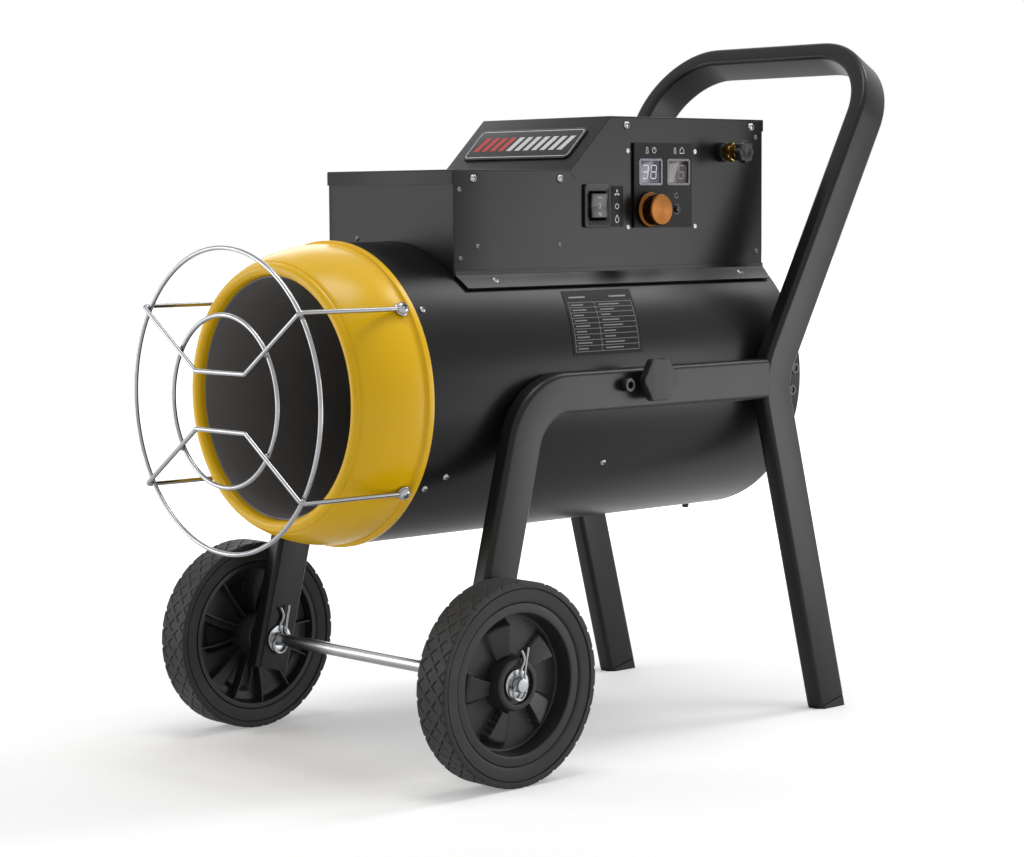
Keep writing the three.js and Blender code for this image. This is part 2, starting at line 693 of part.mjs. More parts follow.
piece(heater, 'barrel_shell', barrelShell(), 'satinBlack');
piece(heater, 'front_cowl', frontCowl(), 'cowlYellow');
piece(heater, 'flame_tube', flameTube(), 'heatSteel');
piece(heater, 'burner_plate', burnerPlate(), 'heatSteel');
piece(heater, 'burner_cone', burnerCone(), 'heatSteel');
piece(heater, 'gas_pipe', gasPipe(), 'copper');
piece(heater, 'spark_electrode',
  probe(electrodeRadius, electrodeRadius / 3, electrodeReach, probeOffset), 'ceramic');
piece(heater, 'thermocouple',
  probe(thermocoupleRadius, thermocoupleRadius * 0.75, thermocoupleReach, -probeOffset), 'stainless');

// ------------------------------------------------------------- fan and motor

function fan() {
  const rearX = fanHubX + fanHubLength;
  const bore = shaftRadius + FIT;
  const inner = fanHubRadius - fanHubChamfer;
  const hub = turned([[fanHubX, bore], [fanHubX, inner], [fanHubX + fanHubChamfer, fanHubRadius],
    [rearX, fanHubRadius], [rearX, bore]], SOME);
  const outline = shapeOf([[-bladeChord * 0.2, inner], [-bladeChord * 0.5, fanRadius * 0.8],
    [-bladeChord * 0.3, fanRadius * 0.96], [bladeChord * 0.1, fanRadius * 0.96],
    [bladeChord * 0.5, fanRadius * 0.84], [bladeChord * 0.2, inner]]);
  const blades = Array.from({ length: bladeCount }, (_, i) =>
    new THREE.ExtrudeGeometry(outline, { depth: bladeSheet, bevelEnabled: false })
      .translate(0, 0, -bladeSheet / 2).rotateY(bladePitch).rotateX(Math.PI / 2)
      .translate(fanHubX + fanHubLength / 2, 0, 0).rotateX(2 * Math.PI * i / bladeCount));
  return lifted(join(hub, ...blades));
}

function fanMotor() {
  const rearX = bracketX - FIT;
  return lifted(turned([
    [fanHubX + 2, 0], [fanHubX + 2, shaftRadius], [motorFrontX - motorNoseLength, shaftRadius],
    [motorFrontX - motorNoseLength, motorNoseRadius], [motorFrontX, motorNoseRadius],
    [motorFrontX + motorCrown, motorRadius], [rearX - 2 * motorCrown, motorRadius],
    [rearX - motorCrown, motorRadius - motorCrown], [rearX - motorCrown, motorBossRadius],
    [rearX, motorBossRadius], [rearX, 0],
  ], SOME));
}

/** Strap across the barrel behind the motor, its folded ends against the barrel wall. */
function motorBracket() {
  const [low, high] = [-bracketDrop - bracketHeight / 2, -bracketDrop + bracketHeight / 2];
  const strap = block(bracketX, bracketX + bracketSheet, -barrelRadius, barrelRadius, low, high);
  const fold = block(bracketX, bracketX + bracketFlange, barrelInner - 6, barrelRadius, low, high);
  const inside = barX(bracketX - 5, bracketX + bracketFlange + 5, barrelInner - FIT, MANY);
  return lifted(common(join(strap, fold, mirrored(fold)), inside));
}

/** Ring and bar grille inside the rear lip. */
function rearGrille() {
  const rearX = barrelRearX - barrelSheet - FIT;
  const frontX = rearX - grilleBar;
  const ring = (radius, sides) => turned([[frontX, radius - grilleBar], [frontX, radius],
    [rearX, radius], [rearX, radius - grilleBar]], sides);
  const outer = barrelInner - FIT;
  const bars = [0, 1, 2].map((i) => block(frontX, rearX, -grilleBar / 2, grilleBar / 2,
    -outer + grilleBar / 2, outer - grilleBar / 2).rotateX(i * Math.PI / 3));
  const middle = barX(frontX, rearX, grilleHubRadius, SOME);
  return lifted(join(ring(outer, MANY), ...grilleRings.map((radius) => ring(radius, SOME)), ...bars, middle));
}

piece(heater, 'fan', fan(), 'zinc');
piece(heater, 'fan_motor', fanMotor(), 'blackPlastic');
piece(heater, 'motor_bracket', motorBracket(), 'zinc');
piece(heater, 'rear_grille', rearGrille(), 'satinBlack');

// --------------------------------------------------------------- front guard

const guardLegRadius = guardRingRadius + guardWire + FIT;
const guardFrontX = guardRingX - guardWire - FIT;
const eyeletBase = cowlNeckRadius + FIT;
const eyeletSheet = 2;

/** A ring of guard wire about the barrel's axis. */
function guardRing(radius) {
  const section = roundSection(guardWire / 2, 6).map(({ x, y }) => [guardRingX + x, radius + y]);
  return lifted(turned(section, MANY));
}

/** One bent wire of the guard: sign is +1 for the upper, -1 for the lower. */
function guardBentWire(sign) {
  const [legY, legZ] = [guardLegRadius * Math.cos(guardAngle), guardLegRadius * Math.sin(guardAngle)];
  const runZ = guardRunHalf * Math.tan(guardAngle);
  const endX = eyeletX - screwHeadRadius - 1;
  const half = [point(endX, legY, sign * legZ), point(guardFrontX, legY, sign * legZ),
    point(guardFrontX, guardRunHalf, sign * runZ)];
  const corners = [...half, ...half.map(({ x, y, z }) => point(x, -y, z)).reverse()];
  const wire = sweep(filletedPath(corners, [3, 3, 3, 3], 3), AXIS_Y, roundSection(guardWire / 2, 6));
  const eyelets = guardCorners().filter(({ name }) => name.startsWith(sign > 0 ? 'upper' : 'lower'))
    .flatMap(({ turn }) => [
      barX(eyeletBase, eyeletBase + eyeletSheet, eyeletRadius, FEW).rotateY(-Math.PI / 2)
        .translate(eyeletX, 0, 0).rotateX(turn),
      block(eyeletX - 12, eyeletX - eyeletRadius + 2, -guardWire / 2, guardWire / 2,
        eyeletBase, eyeletBase + eyeletSheet).rotateX(turn),
    ]);
  const drills = guardCorners().map(({ turn }) =>
    barX(eyeletBase - 3, eyeletBase + 6, screwRadius + FIT, FEW).rotateY(-Math.PI / 2)
      .translate(eyeletX, 0, 0).rotateX(turn));
  return lifted(cut(join(wire, ...eyelets), ...drills));
}

/** Domed screw, its axis along X, seated at x = 0. */
function domedScrew() {
  return turned([
    [-8, 0], [-8, screwRadius], [0, screwRadius], [0, screwHeadRadius], [1.6, screwHeadRadius * 0.86],
    [2.9, screwHeadRadius * 0.45], [3.2, 0],
  ], FEW);
}

piece(heater, 'guard_outer_ring', guardRing(guardRingRadius), 'stainless');
piece(heater, 'guard_inner_ring', guardRing(guardInnerRadius), 'stainless');
piece(heater, 'guard_upper_wire', guardBentWire(1), 'stainless');
piece(heater, 'guard_lower_wire', guardBentWire(-1), 'stainless');
for (const { name, turn } of guardCorners()) {
  const screw = domedScrew().rotateY(-Math.PI / 2)
    .translate(eyeletX, 0, eyeletBase + eyeletSheet + FIT).rotateX(turn);
  piece(heater, `guard_screw_${name}`, lifted(screw), 'zinc');
}

// --------------------------------------------------------------- control box

/** Side view of the box, grown outwards, from a floor height up to the stepped roof. */
function boxSide(grow, floorZ) {
  const back = grow * Math.tan(slopeAngle / 2);
  return shapeOf([
    [boxFrontX - grow, floorZ], [boxFrontX - grow, lowRoofZ + grow], [slopeStartX - back, lowRoofZ + grow],
    [slopeEndX - back, highRoofZ + grow], [boxRearX + grow, highRoofZ + grow], [boxRearX + grow, floorZ],
  ]);
}

const boxPrism = (grow, half, floorZ = barrelAxisZ + barrelRadius / 2) => acrossY(boxSide(grow, floorZ), -half, half);

/** A rectangular cutter through the panel on the -Y side. */
const panelCut = ({ x, z, width, height }, grow) => block(
  x - width / 2 - grow, x + width / 2 + grow, -boxHalf - 5, -boxHalf + 5,
  z - height / 2 - grow, z + height / 2 + grow);

const rockerBody = { ...rocker, width: rocker.width - 4, height: rocker.height - 4 };
const panelHole = (x, z, radius, sides) =>
  barY(-boxHalf - 5, -boxHalf + 5, radius, sides).translate(x, 0, z);

/** Foot flange of one side panel, which follows the barrel. */
function skirt() {
  const inner = barrelRadius + 1.5 * FIT;
  const start = Math.acos((boxHalf - boxSheet / 2) / inner);
  const end = start - skirtLength / inner;
  const strip = new THREE.Shape();
  strip.absarc(0, 0, inner + boxSheet, end, start, false);
  strip.absarc(0, 0, inner, start, end, true);
  return lifted(alongX(strip, boxFrontX, boxRearX));
}

const inletZ = valve.z;
const gland = { y: 40, z: 420, radius: 8 };

/** Four walls and two foot flanges, open at the top and over the barrel. */
function controlBox() {
  const room = block(boxFrontX + boxSheet, boxRearX - boxSheet, -boxHalf + boxSheet, boxHalf - boxSheet,
    barrelAxisZ, highRoofZ + boxHalf);
  const saddle = lifted(barX(boxFrontX - 5, boxRearX + 5, barrelRadius + FIT, MANY));
  const walls = cut(boxPrism(0, boxHalf), room, saddle);
  const rearHole = (y, z, radius) => barX(boxRearX - 5, boxRearX + 5, radius + FIT, SOME).translate(0, y, z);
  return cut(join(walls, skirt(), mirrored(skirt())),
    panelCut(rockerBody, FIT),
    panelCut({ x: plate.x, z: window1.z, width: plate.width - 4, height: window1.height + 4 }, 0),
    panelHole(knob.x, knob.z, knob.shaftRadius + FIT, SOME),
    panelHole(reset.x, reset.z, reset.radius + FIT, SOME),
    panelHole(valve.x, valve.z, valve.bodyRadius + FIT, SOME),
    rearHole(0, inletZ, 6), rearHole(gland.y, gland.z, gland.radius));
}

/** Bent sheet roof with folded edges all round. */
function topCover() {
  const outer = boxPrism(FIT + boxSheet, boxHalf + FIT + boxSheet);
  const inner = boxPrism(FIT, boxHalf + FIT);
  const shift = coverFold * Math.tan(slopeAngle / 2);
  const under = shapeOf([
    [-boxRearX, 0], [-boxRearX, lowRoofZ - coverFold], [slopeStartX + shift, lowRoofZ - coverFold],
    [slopeEndX + shift, highRoofZ - coverFold], [2 * boxRearX, highRoofZ - coverFold], [2 * boxRearX, 0],
  ]);
  return cut(outer, inner, acrossY(under, -boxHalf - 20, boxHalf + 20));
}

/** Plate on the sloping part of the roof. */
function badgePlate() {
  const seat = 2 * FIT + boxSheet;
  return block(-badgeHeight / 2, badgeHeight / 2, -badgeWidth / 2, badgeWidth / 2, seat, seat + badgeSheet)
    .rotateY(-slopeAngle)
    .translate((slopeStartX + slopeEndX) / 2, 0, (lowRoofZ + highRoofZ) / 2);
}

piece(heater, 'control_box', controlBox(), 'satinBlack');
piece(heater, 'top_cover', topCover(), 'satinBlack');
piece(heater, 'badge_plate', badgePlate(), 'glossBlack');

// ------------------------------------------------------------------ controls

const panelY = -boxHalf - FIT;   // seat of what is mounted on the panel

/** A box of the item's width and height, between two depths measured inwards from the seat. */
const onPanel = ({ x, z, width, height }, from, to) => block(
  x - width / 2, x + width / 2, panelY + from, panelY + to, z - height / 2, z + height / 2);

function rockerBezel() {
  const flange = onPanel(rocker, -rocker.flange, 0);
  const body = onPanel(rockerBody, -1, rocker.depth);
  const pocket = onPanel({ ...rocker, ...rockerSlot }, -5, rocker.depth - 2);
  return cut(join(flange, body), pocket);
}

/** Rocker drawn about its pivot, faces towards -Y, rounded to clear the bezel as it tips. */
function modeRocker() {
  const reach = rockerSlot.height / 2 - FIT;
  const face = rockerPivotDepth + rocker.flange + FIT + 2.2;
  const profile = shapeOf([
    [-face, reach - 1.9], [-5, Math.sqrt(reach * reach - 25)], [0, reach], [4, reach * 0.75],
    [4, -reach * 0.75], [0, -reach], [-5, -Math.sqrt(reach * reach - 25)], [-face, 1.9 - reach],
    [1.1 - face, 0],
  ]);
  const half = rockerSlot.width / 2 - FIT;
  return alongX(profile, -half, half).translate(rocker.x, -boxHalf + rockerPivotDepth, rocker.z);
}

function controllerPlate() {
  return cut(onPanel(plate, -plate.sheet, 0), panelCut(window1, 0), panelCut(window2, 0),
    panelHole(knob.x, knob.z, knob.shaftRadius + FIT, SOME),
    panelHole(reset.x, reset.z, reset.radius + FIT, SOME));
}

/** Display behind the panel, its two lenses standing in the plate's windows. */
function displayModule() {
  const back = boxSheet + 2 * FIT;
  const frame = { x: plate.x, z: window1.z, width: plate.width - 2,
    height: window1.height + 2 * displayMargin };
  const body = onPanel(frame, back, -boardY - FIT - panelY);
  const lens = ({ x, z, width, height }) =>
    onPanel({ x, z, width: width - 2 * FIT, height: height - 2 * FIT }, 0.5 - plate.sheet, back + 1);
  return join(body, lens(window1), lens(window2));
}

function temperatureKnob() {
  const seat = plate.sheet + FIT;
  return turnedY([
    [-4, 0], [-4, knob.shaftRadius], [seat, knob.shaftRadius], [seat, knob.baseRadius],
    [seat + 3, knob.baseRadius], [seat + 4, knob.bodyRadius], [seat + knob.height - 1, knob.bodyRadius],
    [seat + knob.height, knob.bodyRadius - 1.2], [seat + knob.height, 0],
  ], SOME).rotateZ(Math.PI).translate(knob.x, panelY, knob.z);
}

function resetButton() {
  const inner = -boardY - keyHeight - FIT - reset.travel;
  return barY(panelY - plate.sheet - 2.6, inner, reset.radius, FEW).translate(reset.x, 0, reset.z);
}

/** Brass valve: spindle housing from the manifold, out through the panel, with a hex. */
function valveBody() {
  const out = -panelY;
  const body = turnedY([
    [manifold.half + FIT, 0], [manifold.half + FIT, valve.bodyRadius], [out + 12, valve.bodyRadius],
    [out + 12, 3.4], [out + valve.reach, 3.4], [out + valve.reach, 0],
  ], SOME);
  const hex = turnedY([[out, 0], [out, valve.hexRadius], [out + 7, valve.hexRadius], [out + 7, 0]], 6);
  return join(body, hex).rotateZ(Math.PI).translate(valve.x, 0, valve.z);
}

/** Fluted knob on the valve's spindle. */
function valveKnob() {
  const flutes = 8;
  const rim = Array.from({ length: 48 }, (_, i) => {
    const angle = 2 * Math.PI * i / 48;
    const radius = valve.knobRadius - 0.7 + 0.7 * Math.cos(flutes * angle);
    return [radius * Math.cos(angle), radius * Math.sin(angle)];
  });
  const front = panelY - valve.reach - 3;
  const body = acrossY(shapeOf(rim), front, front + valve.knobLength);
  const bore = barY(panelY - valve.reach - FIT, front + valve.knobLength + 2, 3.4 + FIT, SOME);
  return cut(body, bore).translate(valve.x, 0, valve.z);
}

piece(heater, 'rocker_bezel', rockerBezel(), 'blackPlastic');
piece(heater, 'mode_rocker', modeRocker(), 'glossBlack');
piece(heater, 'controller_plate', controllerPlate(), 'glossBlack');
piece(heater, 'display_module', displayModule(), 'glossBlack');
piece(heater, 'temperature_knob', temperatureKnob(), 'copper');
piece(heater, 'reset_button', resetButton(), 'blackPlastic');
piece(heater, 'valve_body', valveBody(), 'brass');
piece(heater, 'valve_knob', valveKnob(), 'blackPlastic');

// ------------------------------------------------------------- inside the box

/** Circuit board with the knob's potentiometer and the reset switch on it. */
function controlBoard() {
  const under = ({ x, z }, size, from) =>
    block(x - size / 2, x + size / 2, from, -boardY + board.sheet / 2, z - size / 2, z + size / 2);
  const sheet = block(board.front, board.rear, -boardY, -boardY + board.sheet, board.low, board.high);
  const can = block(relay.front, relay.rear, -boardY + board.sheet / 2, -boardY + relay.height,
    relay.low, relay.high);
  return join(sheet, under(knob, potSize, panelY + 4 + FIT), under(reset, keySize, -boardY - keyHeight), can);
}

function gasManifold() {
  const { front, rear, half, height } = manifold;
  const low = valve.z - height / 2;
  const body = block(front, rear, -half, half, low, low + height - 4);
  const coil = block(front + 8, rear - 10, -half + 6, half - 6, low - 24, low + 1);
  return join(body, coil);
}

function gasInlet() {
  const out = boxRearX + FIT;
  const barbs = [7, 12, 17].flatMap((step) => [[out + step, 4.6], [out + step + 5, 5.6]]);
  return turned([
    [manifold.rear + FIT, 0], [manifold.rear + FIT, 6], [out, 6], [out, 9], [out + 7, 9],
    ...barbs, [out + 25, 3], [out + 25, 0],
  ], SOME).translate(0, 0, inletZ);
}

function cableGland() {
  const out = boxRearX + FIT;
  return turned([
    [out - 12, 0], [out - 12, gland.radius], [out, gland.radius], [out, 11.5], [out + 5, 11.5],
    [out + 6, 10], [out + 14, 9], [out + 17, 6.5], [out + 17, 3.6], [out - 6, 3.6], [out - 6, 0],
  ], SOME).translate(0, gland.y, gland.z);
}

const wallY = boxHalf - boxSheet - FIT;
piece(heater, 'control_board', controlBoard(), 'board');
piece(heater, 'ignition_transformer', block(transformer.front, transformer.rear, wallY - transformer.depth, wallY,
  transformer.low, transformer.high), 'blackPlastic');
piece(heater, 'gas_manifold', gasManifold(), 'brass');
piece(heater, 'gas_inlet', gasInlet(), 'brass');
piece(heater, 'cable_gland', cableGland(), 'blackPlastic');

// ------------------------------------------------------- tilt pivot and clamp

const boltInnerY = barrelInner - boltReach;

function pivotBolt() {
  const seat = tubeOuterY + FIT;
  const bolt = turnedY([
    [boltInnerY, 0], [boltInnerY, pivotBoltRadius], [seat, pivotBoltRadius], [seat, pivotHeadRadius],
    [seat + pivotHeadHeight - 0.8, pivotHeadRadius], [seat + pivotHeadHeight, pivotHeadRadius - 0.8],
    [seat + pivotHeadHeight, 0],
  ], SOME);
  const socket = barY(seat + pivotHeadHeight / 2, seat + pivotHeadHeight + 2, pivotHeadRadius / 2, 6);
  return cut(bolt, socket).translate(pivotX, 0, pivotZ);
}

function starKnob() {
  const seat = tubeOuterY + FIT;
  const middle = (clampLobeRadius + clampWaistRadius) / 2;
  const swell = (clampLobeRadius - clampWaistRadius) / 2;
  const rim = Array.from({ length: 36 }, (_, i) => {
    const angle = 2 * Math.PI * i / 36;
    const radius = middle + swell * Math.cos(6 * angle);
    return [radius * Math.cos(angle), radius * Math.sin(angle)];
  });
  const head = acrossY(shapeOf(rim), seat + clampHubLength, seat + clampHubLength + clampHeadThickness);
  const hub = barY(seat, seat + clampHubLength + 1, clampHubRadius, SOME);
  const stud = barY(boltInnerY, seat + 1, clampStudRadius, SOME);
  return join(head, hub, stud).translate(clampX, 0, clampZ);
}

bothSides(heater, 'pivot_bolt', pivotBolt(), 'blackPlastic');
bothSides(heater, 'star_knob', starKnob(), 'blackPlastic');

// ------------------------------------------------------------------ assembly
// The origin is on the floor under the middle of the whole heater.

const assembly = new THREE.Group();
assembly.add(cart, heater);
const extent = new THREE.Box3().setFromObject(assembly, true);
const middle = extent.getCenter(new THREE.Vector3());
assembly.position.set(-middle.x, -middle.y, -extent.min.z);

export default assembly;
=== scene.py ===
"""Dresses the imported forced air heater: finishes, fine surfaces and the studio it stands in.

Lengths are millimetres from the middle of the wheel axle, along X, and from the floor, along Z.
The air outlet looks towards -X, the push handle is at +X and the controls are on the -Y side.
"""
import json
import logging
from dataclasses import dataclass, field
from enum import Enum
from typing import Any, Callable, Sequence

import bmesh
import bpy
import numpy as np
from mathutils import Matrix, Vector

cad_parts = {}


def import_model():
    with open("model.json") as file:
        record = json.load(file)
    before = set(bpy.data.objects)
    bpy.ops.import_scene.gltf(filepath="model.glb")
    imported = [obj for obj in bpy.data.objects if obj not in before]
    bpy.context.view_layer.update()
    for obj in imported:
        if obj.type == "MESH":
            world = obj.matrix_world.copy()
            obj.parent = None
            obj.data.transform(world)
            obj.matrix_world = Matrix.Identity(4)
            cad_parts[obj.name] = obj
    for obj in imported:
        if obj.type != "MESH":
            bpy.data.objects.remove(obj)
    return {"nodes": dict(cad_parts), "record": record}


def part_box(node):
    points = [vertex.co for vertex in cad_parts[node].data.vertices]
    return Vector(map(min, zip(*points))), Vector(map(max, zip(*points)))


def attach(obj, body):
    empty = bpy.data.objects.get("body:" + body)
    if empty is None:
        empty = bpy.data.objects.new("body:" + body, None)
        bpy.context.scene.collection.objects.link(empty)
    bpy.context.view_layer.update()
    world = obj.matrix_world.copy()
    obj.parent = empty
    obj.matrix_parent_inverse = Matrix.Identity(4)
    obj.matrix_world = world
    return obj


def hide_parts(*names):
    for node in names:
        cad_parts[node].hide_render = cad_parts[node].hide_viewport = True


frame: dict[str, Any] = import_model()
log = logging.getLogger("heater")

MM = 0.001
FULL_TURN = 2 * np.pi
Array = np.ndarray
Place = tuple[float, float, float]

# Heights of the wheel axle and of the barrel's axis, and where the cart's tubes start to the side.
AXLE_Z = 75.0
AXIS_Z = 278.0
CART_Y = 114.5


# ------------------------------------------------------------------ surfaces

class Axis(Enum):
    """The direction that a turned shape's length runs in, and the order that puts it there."""

    X = (0, 1, 2)
    Y = (2, 0, 1)
    Z = (1, 2, 0)


@dataclass
class Surface:
    """A mesh in millimetres: points, one row each, and faces as tuples of point numbers."""

    points: Array
    faces: list[tuple[int, ...]]

    def __add__(self, other: "Surface") -> "Surface":
        """Both meshes in one."""
        shift = len(self.points)
        faces = self.faces + [tuple(i + shift for i in face) for face in other.faces]
        return Surface(np.vstack([self.points, other.points]), faces)

    def moved(self, x: float = 0.0, y: float = 0.0, z: float = 0.0) -> "Surface":
        """The mesh shifted."""
        return Surface(self.points + np.array([x, y, z]), self.faces)

    def turned(self, axis: Axis, degrees: float) -> "Surface":
        """The mesh turned about an axis through the origin, by the right-hand rule."""
        spin = np.array(Matrix.Rotation(np.radians(degrees), 3, axis.name))
        return Surface(self.points @ spin.T, self.faces)

    def mapped(self, change: Callable[[Array], Array]) -> "Surface":
        """The mesh with its points passed through a function of the whole array."""
        return Surface(change(self.points), self.faces)

    def opposite(self) -> "Surface":
        """The mesh on the other side of the middle plane."""
        return Surface(self.points * (1, -1, 1), self.faces)


def combined(surfaces: Sequence[Surface]) -> Surface:
    """All the meshes in one."""
    counts = np.cumsum([0] + [len(s.points) for s in surfaces])
    faces = [tuple(i + int(shift) for i in face)
             for s, shift in zip(surfaces, counts) for face in s.faces]
    return Surface(np.vstack([s.points for s in surfaces]), faces)


def grid(points: Array, around: bool = True, looped: bool = False, capped: bool = False) -> Surface:
    """Joins a grid of points into four-sided faces.

    Args:
        points: Rows by columns by three.
        around: Whether the last column joins the first.
        looped: Whether the last row joins the first.
        capped: Whether the first and last rows are closed with one face each.
    """
    rows, columns = points.shape[:2]
    index = np.arange(rows * columns).reshape(rows, columns)
    if around:
        index = np.hstack([index, index[:, :1]])
    if looped:
        index = np.vstack([index, index[:1]])
    quads = np.stack([index[:-1, :-1], index[:-1, 1:], index[1:, 1:], index[1:, :-1]], axis=-1)
    faces = [tuple(quad) for quad in quads.reshape(-1, 4).tolist()]
    if capped:
        faces.append(tuple(range(columns))[::-1])
        faces.append(tuple(range((rows - 1) * columns, rows * columns)))
    return Surface(points.reshape(-1, 3), faces)


def rounded(corners: Sequence[Sequence[float]], radii: Sequence[float] | float, closed: bool = False,
            steps: int = 8) -> Array:
    """A line through corners, in the plane or in space, with an arc in place of each corner.

    Each arc touches both sides, so its centre is radius / sin(half angle) along the bisector, and
    its points run evenly by angle from one touching point to the other.

    Args:
        corners: The corner points.
        radii: One radius for each corner that is rounded, or one for all.
        closed: Whether the last corner joins the first, so that every corner is rounded.
        steps: How many pieces an arc has.
    """
    spots = np.asarray(corners, float)
    inner = range(len(spots)) if closed else range(1, len(spots) - 1)
    sizes = [radii] * len(inner) if np.isscalar(radii) else list(radii)
    parts = [] if closed else [spots[:1]]
    for i, radius in zip(inner, sizes):
        corner, before, after = spots[i], spots[i - 1], spots[(i + 1) % len(spots)]
        back, ahead = unit(before - corner), unit(after - corner)
        half = np.arccos(np.clip(back @ ahead, -1, 1)) / 2
        if radius < 1e-6 or half > np.pi / 2 - 1e-4:
            parts.append(corner[None])
            continue
        centre = corner + unit(back + ahead) * radius / np.sin(half)
        start = unit(corner + back * radius / np.tan(half) - centre)
        end = unit(corner + ahead * radius / np.tan(half) - centre)
        span = np.arccos(np.clip(start @ end, -1, 1))
        share = np.linspace(0, 1, steps + 1)[:, None]
        arc = (np.sin((1 - share) * span) * start + np.sin(share * span) * end) / np.sin(span)
        parts.append(centre + radius * arc)
    if not closed:
        parts.append(spots[-1:])
    return np.vstack(parts)


def unit(vectors: Array) -> Array:
    """Vectors scaled to length one."""
    return vectors / np.linalg.norm(vectors, axis=-1, keepdims=True)


def angles(steps: int) -> Array:
    """Even steps of one turn, in radians, without its end."""
    return np.arange(steps) * FULL_TURN / steps


def circle(radius: float, steps: int) -> Array:
    """Points of a circle in the plane: radius times (cos t, sin t)."""
    t = angles(steps)
    return radius * np.stack([np.cos(t), np.sin(t)], axis=-1)


def rounded_rectangle(width: float, height: float, radius: float, steps: int = 5) -> Array:
    """Outline of a rectangle about the origin with round corners."""
    x, y = width / 2, height / 2
    return rounded([(x, -y), (x, y), (-x, y), (-x, -y)], radius, closed=True, steps=steps)


def revolved(profile: Array, axis: Axis = Axis.X, steps: int = 96, looped: bool = False) -> Surface:
    """Turns a profile of (along, radius) rows about an axis.

    A point is (along, radius cos t, radius sin t), put in the axis's order.

    Args:
        profile: Rows of distance along the axis and radius.
        axis: The axis of turning, through the origin.
        steps: How many columns the full turn has.
        looped: Whether the profile joins up, as in a ring; otherwise it starts and ends on the axis.
    """
    t = angles(steps)
    along = np.broadcast_to(profile[:, :1], (len(profile), steps))
    points = np.stack([along, profile[:, 1:] * np.cos(t), profile[:, 1:] * np.sin(t)], axis=-1)
    return grid(points[..., list(axis.value)], looped=looped)


def around_y(rows: Sequence[tuple[float, float | None]], rim: Array) -> Surface:
    """Turns rows of (along, radius) about Y, with some rows shaped by a rim.

    Args:
        rows: A row with no radius takes the rim's, and a negative radius lies that far inside it.
        rim: The rim's radius at even angles round the turn.
    """
    steps = len(rim)
    t = angles(steps)
    radii = np.stack([rim if r is None else np.full(steps, r) if r >= 0 else rim + r for _, r in rows])
    along = np.array([y for y, _ in rows])[:, None] * np.ones(steps)
    return grid(np.stack([radii * np.cos(t), along, radii * np.sin(t)], axis=-1))


def hexagon(width: float, steps: int) -> Array:
    """Radius of a hexagon at even angles: half its width over the cosine of the angle from a flat."""
    return width / 2 / np.cos((angles(steps) + np.pi / 6) % (np.pi / 3) - np.pi / 6)


def swept(path: Array, section: Array, side: Sequence[float], bore: Array | None = None,
          depth: int = 3, looped: bool = False) -> Surface:
    """Carries a section along a path without twist.

    At each station the side direction is the last one with its share along the tangent taken off,
    and a point is station + x * side + y * (tangent x side).

    Args:
        path: Stations, one row each.
        section: Outline in the plane across the path.
        side: The section's x direction at the first station.
        bore: Outline of a hollow that opens at the first station, if any.
        depth: How many stations deep the hollow is.
        looped: Whether the path joins up.
    """
    if looped:
        tangents = unit(np.roll(path, -1, axis=0) - np.roll(path, 1, axis=0))
    else:
        tangents = unit(np.gradient(path, axis=0))
    sides = np.empty_like(path)
    across = np.asarray(side, float)
    for i, tangent in enumerate(tangents):
        across = unit(across - (across @ tangent) * tangent)
        sides[i] = across
    ups = np.cross(tangents, sides)

    def carried(outline: Array) -> Array:
        """The outline at every station."""
        return (path[:, None] + outline[None, :, :1] * sides[:, None]
                + outline[None, :, 1:] * ups[:, None])

    rows = carried(section)
    if bore is not None:
        rows = np.concatenate([carried(bore)[:depth][::-1], rows])
    return grid(rows, looped=looped, capped=not looped)


def slab(outline: Array, height: float, edge: float = 0.4, steps: int = 4,
         bottom_edge: float = 0.0) -> Surface:
    """A plate in X and Y with rounded rims.

    The outline moves in by edge (1 - cos t) as it rises by edge sin t.

    Args:
        outline: The plate's outline, anticlockwise.
        height: From the seat at z = 0 to the face.
        edge: Radius of the rim round the face.
        steps: How many pieces the rim has.
        bottom_edge: Radius of the rim round the seat.
    """
    tangents = unit(np.roll(outline, -1, axis=0) - np.roll(outline, 1, axis=0))
    inward = np.stack([-tangents[:, 1], tangents[:, 0]], axis=-1)
    t = np.linspace(0, np.pi / 2, steps + 1)
    insets = edge * (1 - np.cos(t))
    heights = height - edge + edge * np.sin(t)
    if bottom_edge:
        insets = np.concatenate([bottom_edge * (1 - np.cos(t[::-1])), insets])
        heights = np.concatenate([bottom_edge * (1 - np.sin(t[::-1])), heights])
    else:
        insets = np.concatenate([[0.0], insets])
        heights = np.concatenate([[0.0], heights])
    flat = outline[None] + inward[None] * insets[:, None, None]
    level = np.broadcast_to(heights[:, None, None], flat.shape[:2] + (1,))
    return grid(np.concatenate([flat, level], axis=-1), capped=True)


def opened(sheet: Surface, boxes: Sequence[tuple[Place, Place]]) -> Surface:
    """The sheet without the faces whose middle lies in a box, given by its low and high corners."""
    middles = np.array([sheet.points[list(face)].mean(axis=0) for face in sheet.faces])
    inside = [np.all((middles > low) & (middles < high), axis=1) for low, high in boxes]
    kept = ~np.any(inside, axis=0)
    return Surface(sheet.points, [face for face, stay in zip(sheet.faces, kept) if stay])


def tube_ring(radius: float, wire: float, axis: Axis = Axis.X, steps: int = 120,
              sides: int = 14) -> Surface:
    """A ring of round wire: a circle of the wire's radius turned at the ring's radius."""
    return revolved(circle(wire / 2, sides) + (0, radius), axis, steps, looped=True)


def blob(radii: Sequence[float], steps: int = 16) -> Surface:
    """An ellipsoid, for a drop of weld: radii times (cos u cos v, cos u sin v, sin u)."""
    u = np.linspace(-np.pi / 2, np.pi / 2, steps // 2 + 1)
    ball = revolved(np.stack([np.sin(u), np.cos(u)], axis=-1), Axis.Z, steps)
    return ball.mapped(lambda points: points * np.asarray(radii))


